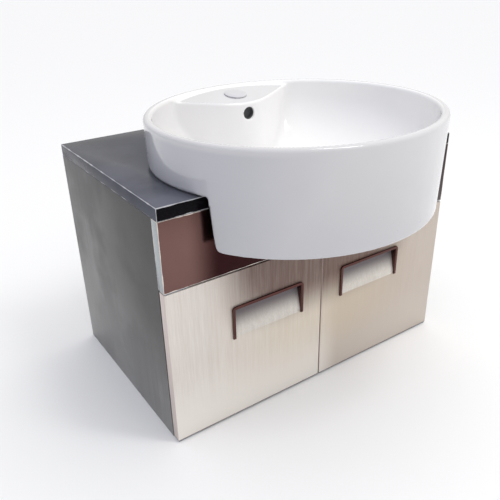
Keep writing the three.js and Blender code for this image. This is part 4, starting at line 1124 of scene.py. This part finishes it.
def surface_net(values: np.ndarray) -> tuple[np.ndarray, np.ndarray]:
    """Finds the surface where a field on a grid is nought.

    Args:
        values: the field, negative inside.

    Returns:
        The surface's points in grid steps, and its four-sided faces, facing out.
    """
    inside = values < 0
    shape = np.array(values.shape) - 1
    steps = [(i, j, k) for i in (0, 1) for j in (0, 1) for k in (0, 1)]
    count = np.zeros(shape, np.uint8)
    for i, j, k in steps:
        count += inside[i : shape[0] + i, j : shape[1] + j, k : shape[2] + k]
    crossed = (count > 0) & (count < 8)
    cells = np.argwhere(crossed)
    number = np.full(shape, -1)
    number[crossed] = np.arange(len(cells))
    total = np.zeros((len(cells), 3))
    hits = np.zeros(len(cells))
    for axis in range(3):
        for corner in steps:
            if corner[axis]:
                continue
            start = cells + corner
            end = start.copy()
            end[:, axis] += 1
            here, there = values[tuple(start.T)], values[tuple(end.T)]
            crosses = (here < 0) != (there < 0)
            share = here[crosses] / (here[crosses] - there[crosses])
            place = np.tile(np.array(corner, float), (int(crosses.sum()), 1))
            place[:, axis] += share
            total[crosses] += place
            hits[crosses] += 1
    points = cells + total / hits[:, None]
    faces = []
    for axis in range(3):
        across, up = (axis + 1) % 3, (axis + 2) % 3
        low, high = [slice(None)] * 3, [slice(None)] * 3
        low[axis], high[axis] = slice(0, -1), slice(1, None)
        leaving = inside[tuple(low)] & ~inside[tuple(high)]
        entering = ~inside[tuple(low)] & inside[tuple(high)]
        step_across, step_up = np.eye(3, dtype=int)[across], np.eye(3, dtype=int)[up]
        for change, forward in ((leaving, True), (entering, False)):
            at = np.argwhere(change)
            ring = [at - step_across - step_up, at - step_up, at, at - step_across]
            quad = np.stack([number[tuple(cell.T)] for cell in ring], axis=1)
            faces.append(quad if forward else quad[:, ::-1])
    return points, np.concatenate(faces)


# ---------------------------------------------------------------- cabinet


class Side(Enum):
    """The cabinet's two sides."""

    LEFT = "left"
    RIGHT = "right"


@dataclass
class Carcass:
    """The cabinet's counter, fascia, panels, rails and brackets."""

    counter_arris: float = 0.0012
    sheet_arris: float = 0.0006
    panels: tuple[str, ...] = (
        "left_side_panel", "right_side_panel", "bottom_panel", "back_panel", "hanging_rail", "front_rail"
    )

    def build(self) -> None:
        """Adds the counter and the folded sheet panels with their rounded edges."""
        add_piece("counter_slab", softened("counter_top", self.counter_arris, 3), SLAB, "cabinet", ["counter_top"])
        mirror = softened("fascia_panel", self.sheet_arris)
        add_piece("fascia_sheet", mirror, BRONZE_MIRROR, "cabinet", ["fascia_panel"])
        for node in self.panels:
            add_piece(f"{node}_sheet", softened(node, self.sheet_arris), SATIN_STEEL, "cabinet", [node])
        for side in Side:
            self.build_fixings(side)

    def build_fixings(self, side: Side) -> None:
        """Adds one side's bracket, screws and magnet catch."""
        bracket = f"{side.value}_hanging_bracket"
        add_piece(f"{bracket}_plate", softened(bracket, 0.0004), ZINC, "cabinet", [bracket])
        for screw in (f"{side.value}_bracket_side_screw", f"{side.value}_bracket_rail_screw"):
            dress_node(screw, ZINC)
        catch = f"{side.value}_catch"
        add_piece(f"{catch}_case", softened(catch, 0.0008), MAGNET, "cabinet", [catch])


@dataclass
class Door:
    """One door: its skin, scoop, pull frame, strike, back and pivots."""

    side: Side
    skin_arris: float = 0.0005
    frame_arris: float = 0.0007

    def build(self) -> None:
        """Adds the door's pieces, which swing together, and its pivots on the cabinet."""
        name = self.side.value
        body = f"{name}_door"
        skin = softened(f"{name}_door_skin", self.skin_arris)
        add_piece(f"{name}_door_sheet", skin, CHAMPAGNE, body, [f"{name}_door_skin"])
        scoop = softened(f"{name}_door_scoop", 0.0003)
        add_piece(f"{name}_pull_scoop", scoop, CHAMPAGNE_SCOOP, body, [f"{name}_door_scoop"])
        pull = softened(f"{name}_pull_frame", self.frame_arris, 3)
        # The pull frame's rounded arrises carry a painted highlight.
        add_piece(f"{name}_pull_trim", pull, BRONZE_TRIM, body, [f"{name}_pull_frame"], HIGHLIGHT_TRIM)
        back = softened(f"{name}_door_back", 0.0003)
        add_piece(f"{name}_door_back_sheet", back, SATIN_STEEL, body, [f"{name}_door_back"])
        strike = softened(f"{name}_catch_strike", 0.0003)
        add_piece(f"{name}_strike_plate", strike, ZINC, body, [f"{name}_catch_strike"])
        dress_node(f"{name}_door_core", CORE)
        for level in ("lower", "upper"):
            dress_node(f"{name}_{level}_bush", NYLON)
            dress_node(f"{name}_{level}_pivot_pin", CHROME)
            dress_node(f"{name}_{level}_pivot_screw", ZINC)
            plate = f"{name}_{level}_pivot_plate"
            add_piece(f"{plate}_bar", softened(plate, 0.0003), ZINC, "cabinet", [plate])


@dataclass
class Waste:
    """The waste, its plug and the bottle trap."""

    nodes: tuple[str, ...] = (
        "waste_body", "waste_bridge", "waste_gasket", "waste_nut", "waste_plug", "plug_seal", "coupling_nut",
        "trap_inlet_pipe", "trap_body", "trap_cup", "trap_outlet_nut", "outlet_pipe", "wall_escutcheon",
    )

    def build(self) -> None:
        """Dresses the waste and the trap."""
        finishes = {
            "waste_body": CHROME, "waste_bridge": CHROME, "waste_nut": CHROME, "waste_plug": CHROME,
            "wall_escutcheon": CHROME,
            "waste_gasket": RUBBER, "plug_seal": RUBBER,
        }
        for node in self.nodes:
            dress_node(node, finishes.get(node, WHITE_PIPE))


# ---------------------------------------------------------------- studio


@dataclass
class Studio:
    """Pale floor, soft lights and the camera."""

    camera_place: Point = (-0.5990, -0.7828, 0.7140)
    azimuth: float = -33.913
    elevation: float = 26.599
    roll: float = -1.377
    lens: float = 42.08
    floor_half: float = 40.0
    sky_level: float = 0.62
    sky_rise: float = 0.65
    sky_lean: float = 0.3

    def build(self) -> None:
        """Adds the floor, the lights and the camera."""
        self.add_floor()
        self.add_world()
        self.add_light("strip", (0.4, -0.8, 2.2), (0.0, -0.1, 0.3), (0.25, 0.9), 9.0)
        self.add_camera()

    def add_floor(self) -> None:
        """Adds a pale floor, which is not part of the object."""
        shape = bmesh.new()
        bmesh.ops.create_grid(shape, x_segments=2, y_segments=2, size=self.floor_half)
        mesh = bpy.data.meshes.new("floor")
        shape.to_mesh(mesh)
        shape.free()
        floor = bpy.data.objects.new("floor", mesh)
        material = bpy.data.materials.new("Pale floor")
        material.use_nodes = True
        shader = material.node_tree.nodes["Principled BSDF"]
        shader.inputs["Base Color"].default_value = (0.93, 0.93, 0.93, 1.0)
        shader.inputs["Roughness"].default_value = 0.9
        mesh.materials.append(material)
        bpy.context.scene.collection.objects.link(floor)

    def add_world(self) -> None:
        """Surrounds the scene with even pale light."""
        world = bpy.data.worlds.new("Studio")
        world.use_nodes = True
        background = world.node_tree.nodes["Background"]
        graph = Graph(world.node_tree)
        across, _, upward = graph.parts(graph.node("ShaderNodeTexCoord").outputs["Generated"])
        overhead = graph.calc("MULTIPLY_ADD", graph.calc("MAXIMUM", upward, 0.0), self.sky_rise, self.sky_level)
        sideways = graph.calc("MULTIPLY_ADD", across, self.sky_lean, 1.0)
        graph.feed(background.inputs["Strength"], graph.calc("MULTIPLY", overhead, sideways))
        tone = graph.mix(graph.remap(across, -0.9, 0.2), shade(236, 240, 255), shade(255, 254, 252))
        graph.feed(background.inputs["Color"], tone)
        bpy.context.scene.world = world
        bpy.context.scene.view_settings.view_transform = "Standard"

    def add_light(self, name: str, place: Point, aim: Point, size: tuple[float, float], power: float) -> None:
        """Adds a soft flat light.

        Args:
            name: the light's name.
            place: where it stands.
            aim: what it points at.
            size: the lengths of its sides.
            power: its power in watts.
        """
        data = bpy.data.lights.new(name, "AREA")
        data.energy = power
        data.shape = "RECTANGLE"
        data.size, data.size_y = size
        light = bpy.data.objects.new(name, data)
        light.location = place
        light.rotation_euler = (Vector(aim) - Vector(place)).to_track_quat("-Z", "Y").to_euler()
        bpy.context.scene.collection.objects.link(light)

    def add_camera(self) -> None:
        """Adds the camera, turned by its azimuth, elevation and roll."""
        turn, lift, roll = (math.radians(a) for a in (self.azimuth, self.elevation, self.roll))
        back = Vector((math.sin(turn) * math.cos(lift), -math.cos(turn) * math.cos(lift), math.sin(lift)))
        right = Vector((math.cos(turn), math.sin(turn), 0.0))
        up = back.cross(right)
        across = right * math.cos(roll) + up * math.sin(roll)
        upward = up * math.cos(roll) - right * math.sin(roll)
        data = bpy.data.cameras.new("camera")
        data.lens = self.lens
        data.sensor_width = 36.0
        camera = bpy.data.objects.new("camera", data)
        facing_way = Matrix((across, upward, back)).transposed().to_4x4()
        camera.matrix_world = Matrix.Translation(self.camera_place) @ facing_way
        bpy.context.scene.collection.objects.link(camera)
        bpy.context.scene.camera = camera


def main() -> None:
    """Builds the vanity, piece by piece, and the studio round it."""
    logging.basicConfig(level=logging.INFO, format="%(name)s %(message)s")
    Studio().build()
    Basin().build()
    Carcass().build()
    for side in Side:
        Door(side).build()
    Waste().build()


if __name__ == "__main__":
    main()
